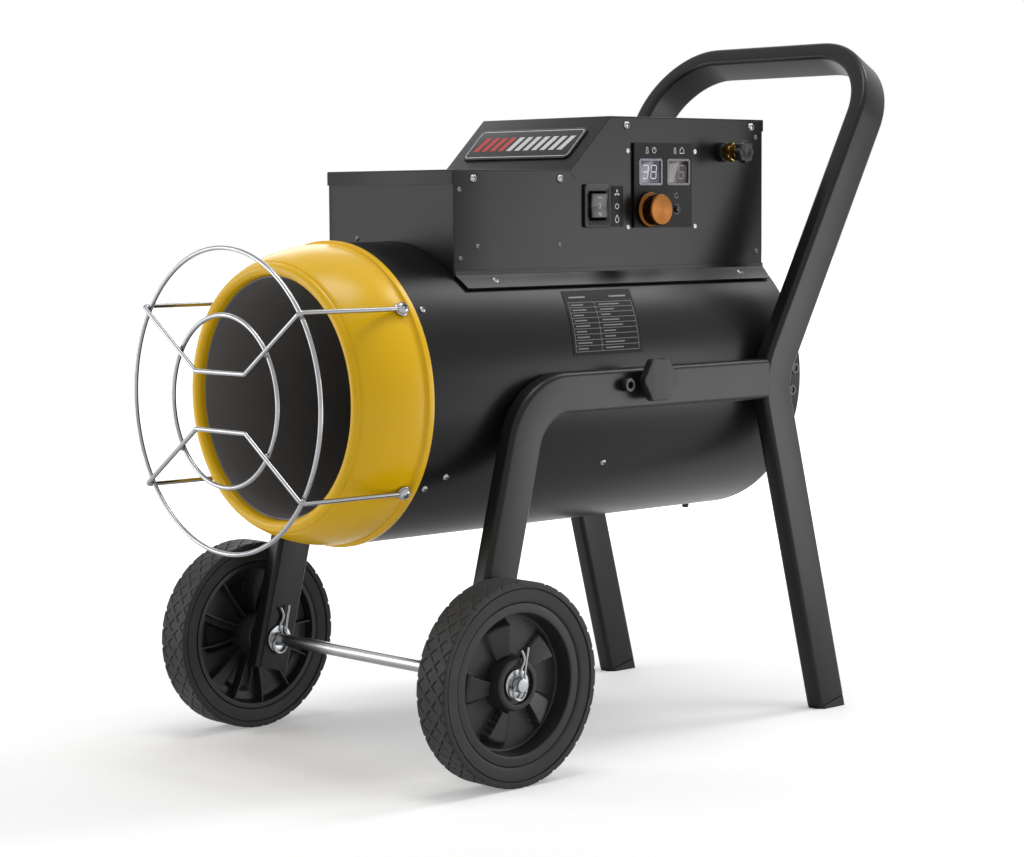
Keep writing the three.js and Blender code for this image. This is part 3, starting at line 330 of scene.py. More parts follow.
def smooth_step(x: Array, low: float, high: float) -> Array:
    """0 below low, 1 above high, and 3 t^2 - 2 t^3 between them."""
    t = np.clip((x - low) / (high - low), 0, 1)
    return t * t * (3 - 2 * t)


# ------------------------------------------------------------------ finishes

def linear(colour: str) -> tuple[float, float, float, float]:
    """An sRGB hex colour as linear red, green, blue and alpha."""
    srgb = np.array([int(colour[i:i + 2], 16) for i in (1, 3, 5)]) / 255
    values = np.where(srgb <= 0.04045, srgb / 12.92, ((srgb + 0.055) / 1.055) ** 2.4)
    return (*values.tolist(), 1.0)


def add_node(tree: bpy.types.NodeTree, kind: str, settings: dict[str, Any] | None = None,
             links: dict[Any, Any] | None = None) -> bpy.types.Node:
    """Adds one node.

    Args:
        tree: The tree it goes in.
        kind: The node's type, without ShaderNode.
        settings: Values by the name of a property or of an input.
        links: Output sockets by the name or number of the input that they go to.

    Returns:
        The new node.
    """
    node = tree.nodes.new("ShaderNode" + kind)
    for key, value in (settings or {}).items():
        if isinstance(key, str) and hasattr(node, key):
            setattr(node, key, value)
        else:
            node.inputs[key].default_value = value
    for key, socket in (links or {}).items():
        tree.links.new(socket, node.inputs[key])
    return node


class Grain(Enum):
    """How a surface was made, which sets the shape of its fine relief."""

    PEEL = "sprayed or powder coated, with a soft orange peel"
    PEBBLE = "moulded in a spark-eroded tool"
    DRAWN = "drawn or rolled, with marks along X"
    SPUN = "turned, with rings about the piece's own axis along Y"


@dataclass(frozen=True)
class Finish:
    """A surface with large soft mottling, varied gloss and a fine relief of a real size.

    Attributes:
        name: What the material is.
        colour: sRGB hex of the surface.
        second: sRGB hex that the mottling goes towards.
        roughness: Mean roughness.
        metallic: 1 for bare metal.
        grain: The kind of relief.
        grain_mm: Spacing of the relief.
        depth_mm: Height of the relief.
        mottle_mm: Size of the colour patches.
        spread: How far the roughness wanders either way.
        coat: Strength of a clear layer.
        centre: Middle of the rings for a spun finish, in millimetres.
        spun: How far a spun finish draws its highlights out across the rings.
        sheen: Specular level; 0.5 is common plastic or paint.
    """

    name: str
    colour: str
    second: str
    roughness: float
    metallic: float = 0.0
    grain: Grain = Grain.PEEL
    grain_mm: float = 1.0
    depth_mm: float = 0.01
    mottle_mm: float = 60.0
    spread: float = 0.04
    coat: float = 0.0
    centre: tuple[float, float, float] = (0.0, 0.0, 0.0)
    spun: float = 0.0
    sheen: float = 0.5

    def material(self, bench: "Bench") -> bpy.types.Material:
        """The material, made once and then found by its name."""
        made = bpy.data.materials.get(self.name)
        if made is None:
            made = bpy.data.materials.new(self.name)
            made.use_nodes = True
            self.fill(made.node_tree, made.node_tree.nodes["Principled BSDF"], bench)
        return made

    def fill(self, tree: bpy.types.NodeTree, shader: bpy.types.Node, bench: "Bench") -> None:
        """Sets the shader and adds the mottling, the varied gloss and the relief."""
        shader.inputs["Metallic"].default_value = self.metallic
        shader.inputs["Specular IOR Level"].default_value = self.sheen
        if self.coat:
            shader.inputs["Coat Weight"].default_value = self.coat
            shader.inputs["Coat Roughness"].default_value = 0.06
        if self.spun:
            shader.inputs["Anisotropic"].default_value = self.spun
            rings = add_node(tree, "Tangent", {"direction_type": "RADIAL", "axis": "Y"})
            tree.links.new(rings.outputs["Tangent"], shader.inputs["Tangent"])
        where = add_node(tree, "TexCoord").outputs["Object"]
        patches = add_node(tree, "TexNoise", {"Scale": 1 / (self.mottle_mm * MM), "Detail": 3.0},
                           {"Vector": where})
        blend = add_node(tree, "MixRGB", {"Color1": linear(self.colour), "Color2": linear(self.second)},
                         {"Fac": patches.outputs["Fac"]})
        gloss = add_node(tree, "MapRange", {"From Min": 0.3, "From Max": 0.7,
                                            "To Min": self.roughness - self.spread,
                                            "To Max": self.roughness + self.spread},
                         {"Value": patches.outputs["Fac"]})
        tree.links.new(self.tinted(tree, where, blend.outputs["Color"]), shader.inputs["Base Color"])
        tree.links.new(gloss.outputs["Result"], shader.inputs["Roughness"])
        bump = add_node(tree, "Bump", {"Strength": 1.0, "Distance": self.depth_mm * MM},
                        {"Height": self.relief(tree, where, bench)})
        tree.links.new(bump.outputs["Normal"], shader.inputs["Normal"])

    def tinted(self, tree: bpy.types.NodeTree, where: bpy.types.NodeSocket,
               colour: bpy.types.NodeSocket) -> bpy.types.NodeSocket:
        """The colour that reaches the shader; a plain finish leaves it as it is."""
        return colour

    def relief(self, tree: bpy.types.NodeTree, where: bpy.types.NodeSocket,
               bench: "Bench") -> bpy.types.NodeSocket:
        """The height of the fine relief, from 0 to 1."""
        scale = 1 / (self.grain_mm * MM)
        if self.grain is Grain.SPUN:
            place = bench.placed(np.array([self.centre]))[0]
            local = add_node(tree, "Mapping", {"Location": tuple(-place)}, {"Vector": where})
            rings = add_node(tree, "TexWave", {"wave_type": "RINGS", "rings_direction": "Y",
                                               "Scale": scale / 3, "Distortion": 0.6, "Detail": 1.0},
                             {"Vector": local.outputs["Vector"]})
            return rings.outputs["Fac"]
        stretch = (0.04, 1.0, 1.0) if self.grain is Grain.DRAWN else (1.0, 1.0, 1.0)
        local = add_node(tree, "Mapping", {"Scale": stretch}, {"Vector": where})
        detail = 4.0 if self.grain is Grain.PEBBLE else 1.0
        noise = add_node(tree, "TexNoise", {"Scale": scale, "Detail": detail},
                         {"Vector": local.outputs["Vector"]})
        return noise.outputs["Fac"]


@dataclass(frozen=True)
class HeatStained(Finish):
    """Stainless sheet that has run hot: straw, brown and blue bands that drift along X."""

    hot_x: float = 60.0

    def tinted(self, tree: bpy.types.NodeTree, where: bpy.types.NodeSocket,
               colour: bpy.types.NodeSocket) -> bpy.types.NodeSocket:
        """Multiplies the steel's colour by a ramp of oxide colours along X, bent by noise."""
        drift = add_node(tree, "TexNoise", {"Scale": 18.0, "Detail": 3.0}, {"Vector": where})
        split = add_node(tree, "SeparateXYZ", links={"Vector": where})
        sway = add_node(tree, "Math", {"operation": "MULTIPLY_ADD", 1: 0.05},
                        {0: drift.outputs["Fac"], 2: split.outputs["X"]})
        band = add_node(tree, "MapRange", {"From Min": -0.22, "From Max": self.hot_x * MM},
                        {"Value": sway.outputs["Value"]})
        ramp = add_node(tree, "ValToRGB", links={"Fac": band.outputs["Result"]})
        stops = ramp.color_ramp.elements
        stops[0].color = linear("#ffffff")
        stops[1].color = linear("#8f8aa0")
        for place, tint in ((0.45, "#fbf6ee"), (0.7, "#c9ab86")):
            stops.new(place).color = linear(tint)
        mixed = add_node(tree, "MixRGB", {"blend_type": "MULTIPLY", "Fac": 1.0},
                         {"Color1": colour, "Color2": ramp.outputs["Color"]})
        return mixed.outputs["Color"]


@dataclass(frozen=True)
class Glowing(Finish):
    """A lit part of a display: a plain colour with its own soft light."""

    strength: float = 0.8

    def fill(self, tree: bpy.types.NodeTree, shader: bpy.types.Node, bench: "Bench") -> None:
        """Adds the light to the plain finish."""
        super().fill(tree, shader, bench)
        shader.inputs["Emission Color"].default_value = linear(self.colour)
        shader.inputs["Emission Strength"].default_value = self.strength


# Polyester powder coat on steel: satin, a soft peel that only breaks the edge of a highlight.
POWDER_COAT = Finish("satin_powder_coat", "#161616", "#1a1a1a", 0.33, grain_mm=1.4, depth_mm=0.008,
                     mottle_mm=90, spread=0.03, sheen=0.22)
# The same coat on spiral-rolled sheet, a little glossier.
PANEL_COAT = Finish("satin_panel_coat", "#121212", "#151515", 0.31, grain_mm=1.2, depth_mm=0.006,
                    mottle_mm=140, spread=0.02, sheen=0.17)
# Baked enamel on spun steel: glossy, clean yellow with a broad highlight.
COWL_ENAMEL = Finish("yellow_baked_enamel", "#f8c503", "#f2be02", 0.27, grain_mm=3.0, depth_mm=0.012,
                     mottle_mm=120, spread=0.02, sheen=0.3)
# Stainless sheet gone straw and brown with heat, dull along the rolling marks.
FLAME_STEEL = HeatStained("heat_stained_steel", "#8b8988", "#7d7b7a", 0.5, metallic=0.3,
                          grain=Grain.DRAWN, grain_mm=0.8, depth_mm=0.004, mottle_mm=50)
# The same sheet nearer the flame: darker, with more metal left in its shine.
BURNER_STEEL = HeatStained("burner_steel", "#6a6460", "#55504c", 0.42, metallic=0.9,
                           grain=Grain.DRAWN, grain_mm=0.8, depth_mm=0.004, mottle_mm=30, hot_x=-10)
# Drawn stainless wire, bright with fine marks along its length.
BRIGHT_WIRE = Finish("bright_stainless_wire", "#a0a1a3", "#8e8f92", 0.20, metallic=1.0,
                     grain=Grain.DRAWN, grain_mm=0.5, depth_mm=0.003, mottle_mm=12, spread=0.06)
# Bright zinc plate: a little milky, with pale patches.
ZINC_PLATE = Finish("bright_zinc_plate", "#a9abae", "#979a9d", 0.28, metallic=1.0, grain_mm=0.5,
                    depth_mm=0.004, mottle_mm=8, spread=0.07)
# Plated rod, drawn smooth: an even grey with a clean streak of light along it.
GROUND_STEEL = Finish("plated_rod", "#b4b5b6", "#a9aaab", 0.2, metallic=1.0, grain_mm=0.5,
                      depth_mm=0.001, mottle_mm=60)
# The same plate painted darker on the small sheet-metal screws: a shaded copy of the zinc plate, its
# darkness painted shade.
SHADED_ZINC = Finish("dull_zinc_plate", "#77787a", "#66676a", 0.4, metallic=1.0, grain_mm=0.5,
                   depth_mm=0.004, mottle_mm=6)
# Whiter than zinc, with a share of white that is not metal: a lit copy of the plate whose whiteness is
# a painted highlight, for the screws of the controller plate.
WHITENED_PLATE = Finish("nickel_plate", "#e6e6e4", "#dcdcda", 0.32, metallic=0.6, grain_mm=0.5,
                      depth_mm=0.003, mottle_mm=8)
# Mill-finish aluminium sheet: pale and satin, with fine marks one way.
ROLLED_ALUMINIUM = Finish("rolled_aluminium", "#b4b6b8", "#a2a4a7", 0.34, metallic=1.0,
                          grain=Grain.DRAWN, grain_mm=0.6, depth_mm=0.004, mottle_mm=25)
# Blackened steel: nearly black, with a faint oily shine on its edges.
BLACK_OXIDE = Finish("black_oxide_steel", "#242425", "#1c1c1d", 0.34, metallic=0.4, grain_mm=0.6,
                     depth_mm=0.004, mottle_mm=6)
# Glass-filled nylon: even black with a low sheen and a fine pebble.
MOULDED_NYLON = Finish("moulded_nylon", "#1a1a1a", "#1e1e1e", 0.42, grain=Grain.PEBBLE, grain_mm=0.7,
                       depth_mm=0.01, mottle_mm=40, sheen=0.25)
# The wheels' nylon, a shade greyer.
HUB_NYLON = Finish("wheel_nylon", "#232323", "#282828", 0.42, grain=Grain.PEBBLE, grain_mm=0.7,
                   depth_mm=0.01, mottle_mm=40, sheen=0.3)
# Solid rubber: dark grey and matt, so that its tread shows only by shading.
TYRE_RUBBER = Finish("solid_tyre_rubber", "#2a2a2a", "#2f2f2f", 0.6, grain=Grain.PEBBLE, grain_mm=0.9,
                     depth_mm=0.02, mottle_mm=25, spread=0.06, sheen=0.3)
# Polished-mould ABS: deep black with a sharp reflection.
GLOSS_ABS = Finish("gloss_abs", "#0c0c0c", "#0f0f0f", 0.22, grain_mm=4.0, depth_mm=0.002, sheen=0.3)
# Matt polycarbonate film: black without a clear reflection.
PRINTED_FILM = Finish("printed_film", "#0b0a0a", "#0d0c0b", 0.5, grain_mm=2.5, depth_mm=0.002,
                      sheen=0.16)
# Screen inks: flat and even, with a slight tooth.
WHITE_PRINT = Finish("white_screen_print", "#dcdcdc", "#cfcfcf", 0.5, grain_mm=0.4, depth_mm=0.003)
GREY_PRINT = Finish("grey_screen_print", "#8d8a88", "#7f7c7a", 0.5, grain_mm=0.4, depth_mm=0.003)
RED_PRINT = Finish("red_screen_print", "#c5201f", "#b81c1c", 0.4, grain_mm=0.4, depth_mm=0.003)
# Clear polystyrene rims and smoked faces: a soft cloudy rim round a dark, shiny window. The lit
# display's rim and face have its glow painted into their colour, lighter and violet; the brown rim and
# face are the same ones unlit.
GLOW_PAINTED_RIM = Finish("moulded_clear_rim", "#706d86", "#37344a", 0.3, grain_mm=0.6, depth_mm=0.006,
                    mottle_mm=2.5)
BROWN_RIM = Finish("unlit_clear_rim", "#4a3d3e", "#221b1c", 0.3, grain_mm=0.6, depth_mm=0.006,
                   mottle_mm=2.5)
GLOW_PAINTED_FACE = Finish("smoked_display_face", "#28263a", "#3d3a52", 0.14, grain_mm=3.0, depth_mm=0.003,
                     mottle_mm=6)
BROWN_LENS = Finish("unlit_display_face", "#211b1c", "#352b2b", 0.14, grain_mm=3.0, depth_mm=0.003,
                    mottle_mm=6)
# Light-emitting segments under a diffuser: pale when lit and nearly grey when dim.
LIT_SEGMENT = Glowing("lit_segment", "#d9d7ea", "#cbc9dd", 0.4, grain_mm=1.0, depth_mm=0.002,
                      strength=0.4)
DIM_SEGMENT = Glowing("dim_segment", "#8f7f80", "#7f7071", 0.4, grain_mm=1.0, depth_mm=0.002,
                      strength=0.06)
# Turned brass: warm yellow with crisp highlights on its edges.
BRASS = Finish("machined_brass", "#9a7a42", "#8a6c38", 0.24, metallic=1.0, grain_mm=0.5, depth_mm=0.003,
               mottle_mm=8)
# Drawn copper tube: reddish and satin.
DRAWN_COPPER = Finish("drawn_copper", "#c77b45", "#b3683a", 0.28, metallic=1.0, grain_mm=0.8,
                      depth_mm=0.004, mottle_mm=20)
# Copper-coloured anodised aluminium, its faces turned in fine rings.
KNOB_COPPER = Finish("spun_copper_anodised", "#6c4520", "#623d1b", 0.34, metallic=1.0, grain=Grain.SPUN,
                     grain_mm=0.6, depth_mm=0.002, mottle_mm=30, spread=0.02,
                     centre=(228.0, -82.0, 414.0), spun=0.8)
# Glazed alumina: off-white with a glassy shine.
GLAZED_CERAMIC = Finish("glazed_ceramic", "#e9e4d8", "#e2dccd", 0.18, grain_mm=1.5, depth_mm=0.006)
# Lacquer on glass-epoxy board: deep green and smooth.
SOLDER_MASK = Finish("green_solder_mask", "#1c5a36", "#17502f", 0.35, grain_mm=0.6, depth_mm=0.005)
# Painted shade: black with no shine, standing in for the shadow inside a narrow gap.
SEAM_SHADE = Finish("unlit_socket", "#0b0b0b", "#0d0d0d", 0.7, grain_mm=1.0, depth_mm=0.005)


# --------------------------------------------------------------------- bench

@dataclass
class Bench:
    """Hands finished pieces to the frame.

    Attributes:
        axle_x: Where the axle is in the frame, in metres.
        made: Names of the pieces so far.
    """

    axle_x: float
    made: list[str] = field(default_factory=list)

    def placed(self, points: Array) -> Array:
        """Millimetres from the axle as metres in the frame."""
        return points * MM + np.array([self.axle_x, 0.0, 0.0])

    def piece(self, name: str, surface: Surface, finish: Finish, body: str, *nodes: str,
              slot: str = "", sharp: float = 40.0, sheet_mm: float = 0.0,
              front: Sequence[float] | None = None) -> bpy.types.Object:
        """Makes one object, welds its seams and poles, and lets it ride on a body.

        Args:
            name: The piece's name.
            surface: Its shape in millimetres.
            finish: Its material.
            body: The body that it moves with.
            nodes: The solids that it stands for.
            slot: The record's material slot; not used.
            sharp: Edges that turn by more than this many degrees stay crisp.
            sheet_mm: Thickness that an open sheet gets behind its outer face; 0 for a closed shape.
            front: The way that a flat sheet faces; without it a sheet faces away from its middle.
        """
        mesh = bpy.data.meshes.new(name)
        mesh.from_pydata(self.placed(surface.points).tolist(), [], surface.faces)
        self.mend(mesh, sheet_mm > 0, front)
        made = self.finished(name, mesh, finish, body, nodes, sharp)
        if sheet_mm:
            uses = np.bincount([loop.edge_index for loop in mesh.loops], minlength=len(mesh.edges))
            for edge in (mesh.edges[i] for i in np.flatnonzero(uses == 1)):
                edge.use_edge_sharp = True
            wall = made.modifiers.new("sheet", "SOLIDIFY")
            wall.thickness = sheet_mm * MM
            wall.offset = -1.0
            wall.use_quality_normals = True
        return made

    def refined(self, node: str, finish: Finish, slot: str = "", bevel_mm: float = 0.0,
                sharp: float = 40.0) -> bpy.types.Object:
        """A solid's own shape, merged, with flat faces joined and edges rounded, in its place."""
        mesh = frame["nodes"][node].data.copy()
        build = bmesh.new()
        build.from_mesh(mesh)
        bmesh.ops.remove_doubles(build, verts=build.verts, dist=0.002 * MM)
        bmesh.ops.dissolve_limit(build, angle_limit=np.radians(1.0), verts=build.verts,
                                 edges=build.edges)
        build.to_mesh(mesh)
        build.free()
        name = node + "_finished"
        made = self.finished(name, mesh, finish, body_of(node), (node,), sharp)
        if bevel_mm:
            rim = made.modifiers.new("rim", "BEVEL")
            rim.width = bevel_mm * MM
            rim.segments = 3
            rim.limit_method = "ANGLE"
            rim.angle_limit = np.radians(sharp)
            rim.harden_normals = True
        return made

    def mend(self, mesh: bpy.types.Mesh, open_sheet: bool = False,
             front: Sequence[float] | None = None) -> None:
        """Welds points that coincide and turns the faces outwards.

        Args:
            mesh: The mesh to mend.
            open_sheet: Whether it is an open sheet, whose outside can't be found from its walls.
            front: The way that an open sheet faces; without it, away from the middle of its points.
        """
        build = bmesh.new()
        build.from_mesh(mesh)
        bmesh.ops.remove_doubles(build, verts=build.verts, dist=0.0005 * MM)
        bmesh.ops.dissolve_degenerate(build, dist=0.0002 * MM, edges=build.edges)
        bmesh.ops.recalc_face_normals(build, faces=build.faces)
        if open_sheet:
            middle = sum((v.co for v in build.verts), Vector()) / len(build.verts)
            way = [(Vector(front) if front else face.calc_center_median() - middle).dot(face.normal)
                   * face.calc_area() for face in build.faces]
            if sum(way) < 0:
                bmesh.ops.reverse_faces(build, faces=build.faces)
        build.to_mesh(mesh)
        build.free()

    def finished(self, name: str, mesh: bpy.types.Mesh, finish: Finish, body: str,
                 nodes: Sequence[str], sharp: float) -> bpy.types.Object:
        """Gives a mesh its object, smooth shading, material, body and the solids that it replaces."""
        mesh.shade_smooth()
        mesh.set_sharp_from_angle(angle=np.radians(sharp))
        mesh.materials.clear()
        mesh.materials.append(finish.material(self))
        made = bpy.data.objects.new(name, mesh)
        bpy.context.scene.collection.objects.link(made)
        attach(made, body)
        if nodes:
            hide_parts(*nodes)
        self.made.append(name)
        log.info("%s rides on %s", name, body)
        return made


def body_of(node: str) -> str:
    """The body that a solid belongs to."""
    bodies = frame["record"]["behaviour"]["bodies"]
    return next(body for body, members in bodies.items() if node in members)


SIDES = {"left": -1, "right": 1}


def on_side(surface: Surface, side: str) -> Surface:
    """A right-hand shape as it is, or its mirror image for the left."""
    return surface if side == "right" else surface.opposite()


# ---------------------------------------------------------------------- cart

@dataclass
class Cart:
    """The bent tube frame with its feet."""

    bench: Bench
    face: float = 32.0
    thickness: float = 16.0
    wall: float = 1.5
    corner: float = 4.0
    inner_y: float = CART_Y
    bar_z: float = AXIS_Z
    knee_x: float = 318.5
    rear_lean: float = 14.8
    handle_lean: float = 29.3
    handle_length: float = 301.3
    knee_radius: float = 50.0
    grip_radius: float = 62.0
    front_lean: float = 14.3
    axle_z: float = AXLE_Z
    leg_tail: float = 24.0
    shoulder_radius: float = 45.0
    foot_z: float = 5.6
    bar_gap: float = 8.2
    arc_steps: int = 22

    def build(self) -> None:
        """Makes every piece of the cart's frame."""
        self.rear_tube()
        for side in SIDES:
            self.side_tube(side)
            self.bench.refined(f"foot_cap_{side}", MOULDED_NYLON, "black_plastic", bevel_mm=0.7)

    @property
    def middle_y(self) -> float:
        """Distance of a tube's middle from the middle plane."""
        return self.inner_y + self.thickness / 2

    def section(self) -> Array:
        """Outline of the rectangular tube."""
        return rounded_rectangle(self.face, self.thickness, self.corner, 6)

    def rear_tube(self) -> None:
        """Rear legs and handle: straight runs with an arc at each knee and at each end of the grip."""
        lean, tip = np.radians(self.rear_lean), np.radians(self.handle_lean)
        foot_x = self.knee_x + (self.bar_z - self.foot_z) * np.tan(lean)
        top_x = self.knee_x + self.handle_length * np.sin(tip)
        top_z = self.bar_z + self.handle_length * np.cos(tip)
        left = [(foot_x, -self.middle_y, self.foot_z), (self.knee_x, -self.middle_y, self.bar_z),
                (top_x, -self.middle_y, top_z)]
        right = [(x, -y, z) for x, y, z in reversed(left)]
        radii = [self.knee_radius, self.grip_radius, self.grip_radius, self.knee_radius]
        path = rounded(left + right, radii, steps=self.arc_steps)
        tube = swept(path, self.section(), (np.cos(lean), 0, np.sin(lean)))
        self.bench.piece("bent_rear_tube", tube, POWDER_COAT, "cart", "handle_tube", slot="frame_paint")

    def side_tube(self, side: str) -> None:
        """Front leg and side bar, open at the leg's lower end."""
        lean = np.radians(self.front_lean)

        def leg(z: float) -> tuple[float, float, float]:
            """The leg's centre line at a height."""
            return (z - self.axle_z) * np.tan(lean), self.middle_y, z

        low, station = self.axle_z - self.leg_tail, 14
        corners = [leg(low), leg(low + station), leg(low + 2 * station), leg(self.bar_z),
                   (self.knee_x - self.bar_gap, self.middle_y, self.bar_z)]
        path = rounded(corners, [0, 0, self.shoulder_radius], steps=self.arc_steps)
        bore = rounded_rectangle(self.face - 2 * self.wall, self.thickness - 2 * self.wall,
                                 self.corner - self.wall, 6)
        tube = swept(path, self.section(), (np.cos(lean), 0, -np.sin(lean)), bore, depth=3)
        self.bench.piece(f"bent_side_tube_{side}", on_side(tube, side), POWDER_COAT, "cart",
                         f"side_frame_{side}", slot="frame_paint")


# -------------------------------------------------------------------- wheels

@dataclass
class Wheels:
    """Axle, washers, hairpin clips, moulded hubs and block-tread tyres."""

    bench: Bench
    axle_z: float = AXLE_Z
    tyre_radius: float = 75.0
    inner_y: float = 140.0
    width: float = 29.0
    rim_radius: float = 59.2
    opening_radius: float = 52.0
    boss_radius: float = 18.6
    boss_top: float = 26.0
    boss_foot: float = -9.2
    recess_radius: float = 14.4
    recess_floor: float = 23.0
    bore: float = 5.3
    axle_radius: float = 5.0
    web_depth: float = 13.0
    petals: int = 5
    petal_rise: float = 7.5
    ribs: int = 12
    pitches: int = 32
    clip_wire: float = 2.1
    washer_radius: float = 11.0
    washer_bore: float = 5.3
    crown_rows: int = 54
    columns_per_pitch: int = 30
    hub_columns: int = 288
    rib_rows: int = 14

    def build(self) -> None:
        """Makes the axle and everything on it."""
        end = self.inner_y + self.width + 2.5
        rod = rounded([(-end, 0), (-end, self.axle_radius), (end, self.axle_radius), (end, 0)], 0.8)
        self.bench.piece("turned_axle", revolved(rod, Axis.Y, 48).moved(z=self.axle_z), GROUND_STEEL,
                         "cart", "axle", slot="zinc")
        for side, sign in SIDES.items():
            self.small_parts(side)
            self.tyre(side, sign)
            self.hub(side)

    def small_parts(self, side: str) -> None:
        """Washers and hairpin clips of one side."""
        bore, rim = self.washer_bore, self.washer_radius
        for place, seat in (("inner", CART_Y - 1.8), ("outer", self.inner_y + self.recess_floor + 0.3)):
            ring = rounded([(seat, bore), (seat, rim), (seat + 1.5, rim), (seat + 1.5, bore)], 0.3,
                           closed=True, steps=3)
            washer = revolved(ring, Axis.Y, 48, looped=True).moved(z=self.axle_z)
            self.bench.piece(f"plated_washer_{place}_{side}", on_side(washer, side), ZINC_PLATE, "cart",
                             f"axle_washer_{place}_{side}", slot="zinc")
        for place, y in (("inner", CART_Y - 3.45), ("outer", self.inner_y + self.boss_top + 1.35)):
            self.bench.piece(f"hairpin_{place}_{side}", on_side(self.hairpin(y), side), BRIGHT_WIRE,
                             "cart", f"clip_{place}_{side}", slot="stainless", sharp=70)

    def hairpin(self, y: float) -> Surface:
        """A straight leg through the axle, a round eye below it and a wavy leg back up."""
        turn = np.linspace(-0.16, 1.03, 30)[:, None] * FULL_TURN
        radius = 6.0
        eye = np.hstack([-0.7 + radius * np.cos(turn), -4.9 - radius * np.sin(turn)])
        straight = np.array([(8.6, 26.4), (7.0, 19.0), (5.6, 12.0), (4.8, 5.0), (4.6, 1.0)])
        wave = np.array([(4.4, -1.2), (2.2, 3.0), (0.0, 8.5), (0.6, 12.0), (3.2, 16.0), (3.8, 19.0),
                         (2.4, 22.5), (0.8, 25.4)])
        flat = np.vstack([straight, eye, wave])
        lift = np.concatenate([np.zeros(len(straight)), np.linspace(0, 1.1, len(eye)),
                               np.full(len(wave), 1.1)])
        knots = np.column_stack([flat[:, 0], lift, flat[:, 1]])
        lengths = np.concatenate([[0], np.cumsum(np.linalg.norm(np.diff(knots, axis=0), axis=1))])
        even = np.linspace(0, lengths[-1], 130)
        path = np.column_stack([np.interp(even, lengths, knots[:, k]) for k in range(3)])
        soft = np.vstack([path[:1], (path[:-2] + path[1:-1] + path[2:]) / 3, path[-1:]])
        return swept(soft, circle(self.clip_wire / 2, 10), (0, 1, 0)).moved(y=y, z=self.axle_z)

    def tyre(self, side: str, sign: int) -> None:
        """Solid tyre: square shoulders, a fine groove in each side and a tread of separate hooks.

        The tread's radius drops by the groove's depth where a point is within half a groove's width
        of a hook's arm.
        """
        radius, half = self.tyre_radius, self.width / 2
        shoulder = 1.0
        tread = np.linspace(-half + shoulder, half - shoulder, self.crown_rows)
        crown = np.column_stack([tread, np.full(self.crown_rows, radius)])
        rows = np.vstack([self.side_wall(-1)[::-1], crown, self.side_wall(1)])
        columns = self.pitches * self.columns_per_pitch
        t = angles(columns)
        across = np.broadcast_to(rows[:, :1], (len(rows), columns))
        reach = np.broadcast_to(rows[:, 1:], (len(rows), columns))
        pitch = FULL_TURN * radius / self.pitches
        sunk = self.tread_depth(across * sign, t * radius, pitch)
        reach = reach - sunk * smooth_step(reach, radius - 6.0, radius - 1.0)
        points = np.stack([reach * np.cos(t), across, reach * np.sin(t)], axis=-1)
        shape = grid(points, looped=True).moved(y=self.inner_y + half, z=self.axle_z)
        self.bench.piece(f"block_tread_tyre_{side}", on_side(shape, side), TYRE_RUBBER, f"wheel_{side}",
                         f"tyre_{side}", slot="tyre_rubber", sharp=60)

    def side_wall(self, sign: int) -> Array:
        """Section of one side wall from the tread's edge to the hub: rows of (across, radius)."""
        half = self.width / 2
        ends = [(half - 0.9, 75.0), (half - 0.3, 74.7), (half, 74.1)]
        groove = [(half - 0.3, 70.5), (half - 1.8, 70.2), (half - 1.8, 69.6), (half - 0.9, 69.3)]
        foot = [(half - 1.2, 62.0), (half - 1.5, 60.3), (half - 3.0, self.rim_radius + 0.3)]
        rows = np.array(ends + groove + foot)
        return rows * (sign, 1)

    def tread_depth(self, across: Array, along: Array, pitch: float) -> Array:
        """How deep the tread is cut at each point, in millimetres.

        Four rows of hooks stand side by side across the tread. A hook is two arms that meet in a
        right angle: for the place (s, q) seen from its corner, |q| = -s up to the arm's length.
        Small notches stand in both edges.
        """
        depth = np.zeros_like(across)
        for row, corner in enumerate((-9.2, -2.2, 4.8, 11.8)):
            phase = along + (row % 2) * pitch / 2
            s = (phase + pitch / 2) % pitch - pitch / 2
            q = across - corner
            gap = np.abs(np.abs(s) + q) / np.sqrt(2)
            on_arm = (q < 0.7) & (q > -4.6)
            depth = np.maximum(depth, on_arm * 1.1 * (1 - smooth_step(gap, 0.25, 0.62)))
        edge = np.abs(across) > self.width / 2 - 1.6
        s = np.abs((along + pitch / 4) % pitch - pitch / 2)
        return np.maximum(depth, edge * 0.9 * (1 - smooth_step(s, 0.6, 1.6)))

    def hub(self, side: str) -> None:
        """Moulded hub: a dished web whose outer face is twisted into petals, a boss and a rim.

        The web's height is its depth plus the petals' rise at each radius and angle.
        """
        columns = self.hub_columns
        t = angles(columns)
        rows = np.vstack([self.face_rows(), self.back_rows()])
        reach = np.broadcast_to(rows[:, 1:], (len(rows), columns))
        height = rows[:, :1] + self.petal_height(reach, t) * self.petal_share(rows)[:, None]
        points = np.stack([reach * np.cos(t), height, reach * np.sin(t)], axis=-1)
        shape = grid(points, looped=True)
        ribs = [self.rib().turned(Axis.Y, 360 * i / self.ribs) for i in range(self.ribs)]
        whole = combined([shape] + ribs).moved(y=self.inner_y, z=self.axle_z)
        self.bench.piece(f"moulded_hub_{side}", on_side(whole, side), HUB_NYLON, f"wheel_{side}",
                         f"wheel_hub_{side}", slot="black_plastic", sharp=50)

    def face_rows(self) -> Array:
        """Section of the outer side from the bore to the rim: rows of (height, radius)."""
        boss = rounded([(self.recess_floor, self.bore), (self.recess_floor, self.recess_radius),
                        (self.boss_top, self.recess_radius), (self.boss_top, self.boss_radius),
                        (self.web_depth + 1, self.boss_radius + 2.6)], [0.4, 0.8, 2.2], steps=5)
        spread = np.linspace(self.boss_radius + 3, 48.2, 30)
        web = np.column_stack([np.full(30, self.web_depth), spread])
        wall = rounded([(self.web_depth, 48.4), (self.web_depth, 50.0), (26.6, self.opening_radius),
                        (26.6, self.rim_radius), (1.5, self.rim_radius)], [1.5, 1.2, 0.4], steps=8)
        return np.vstack([boss, web, wall])

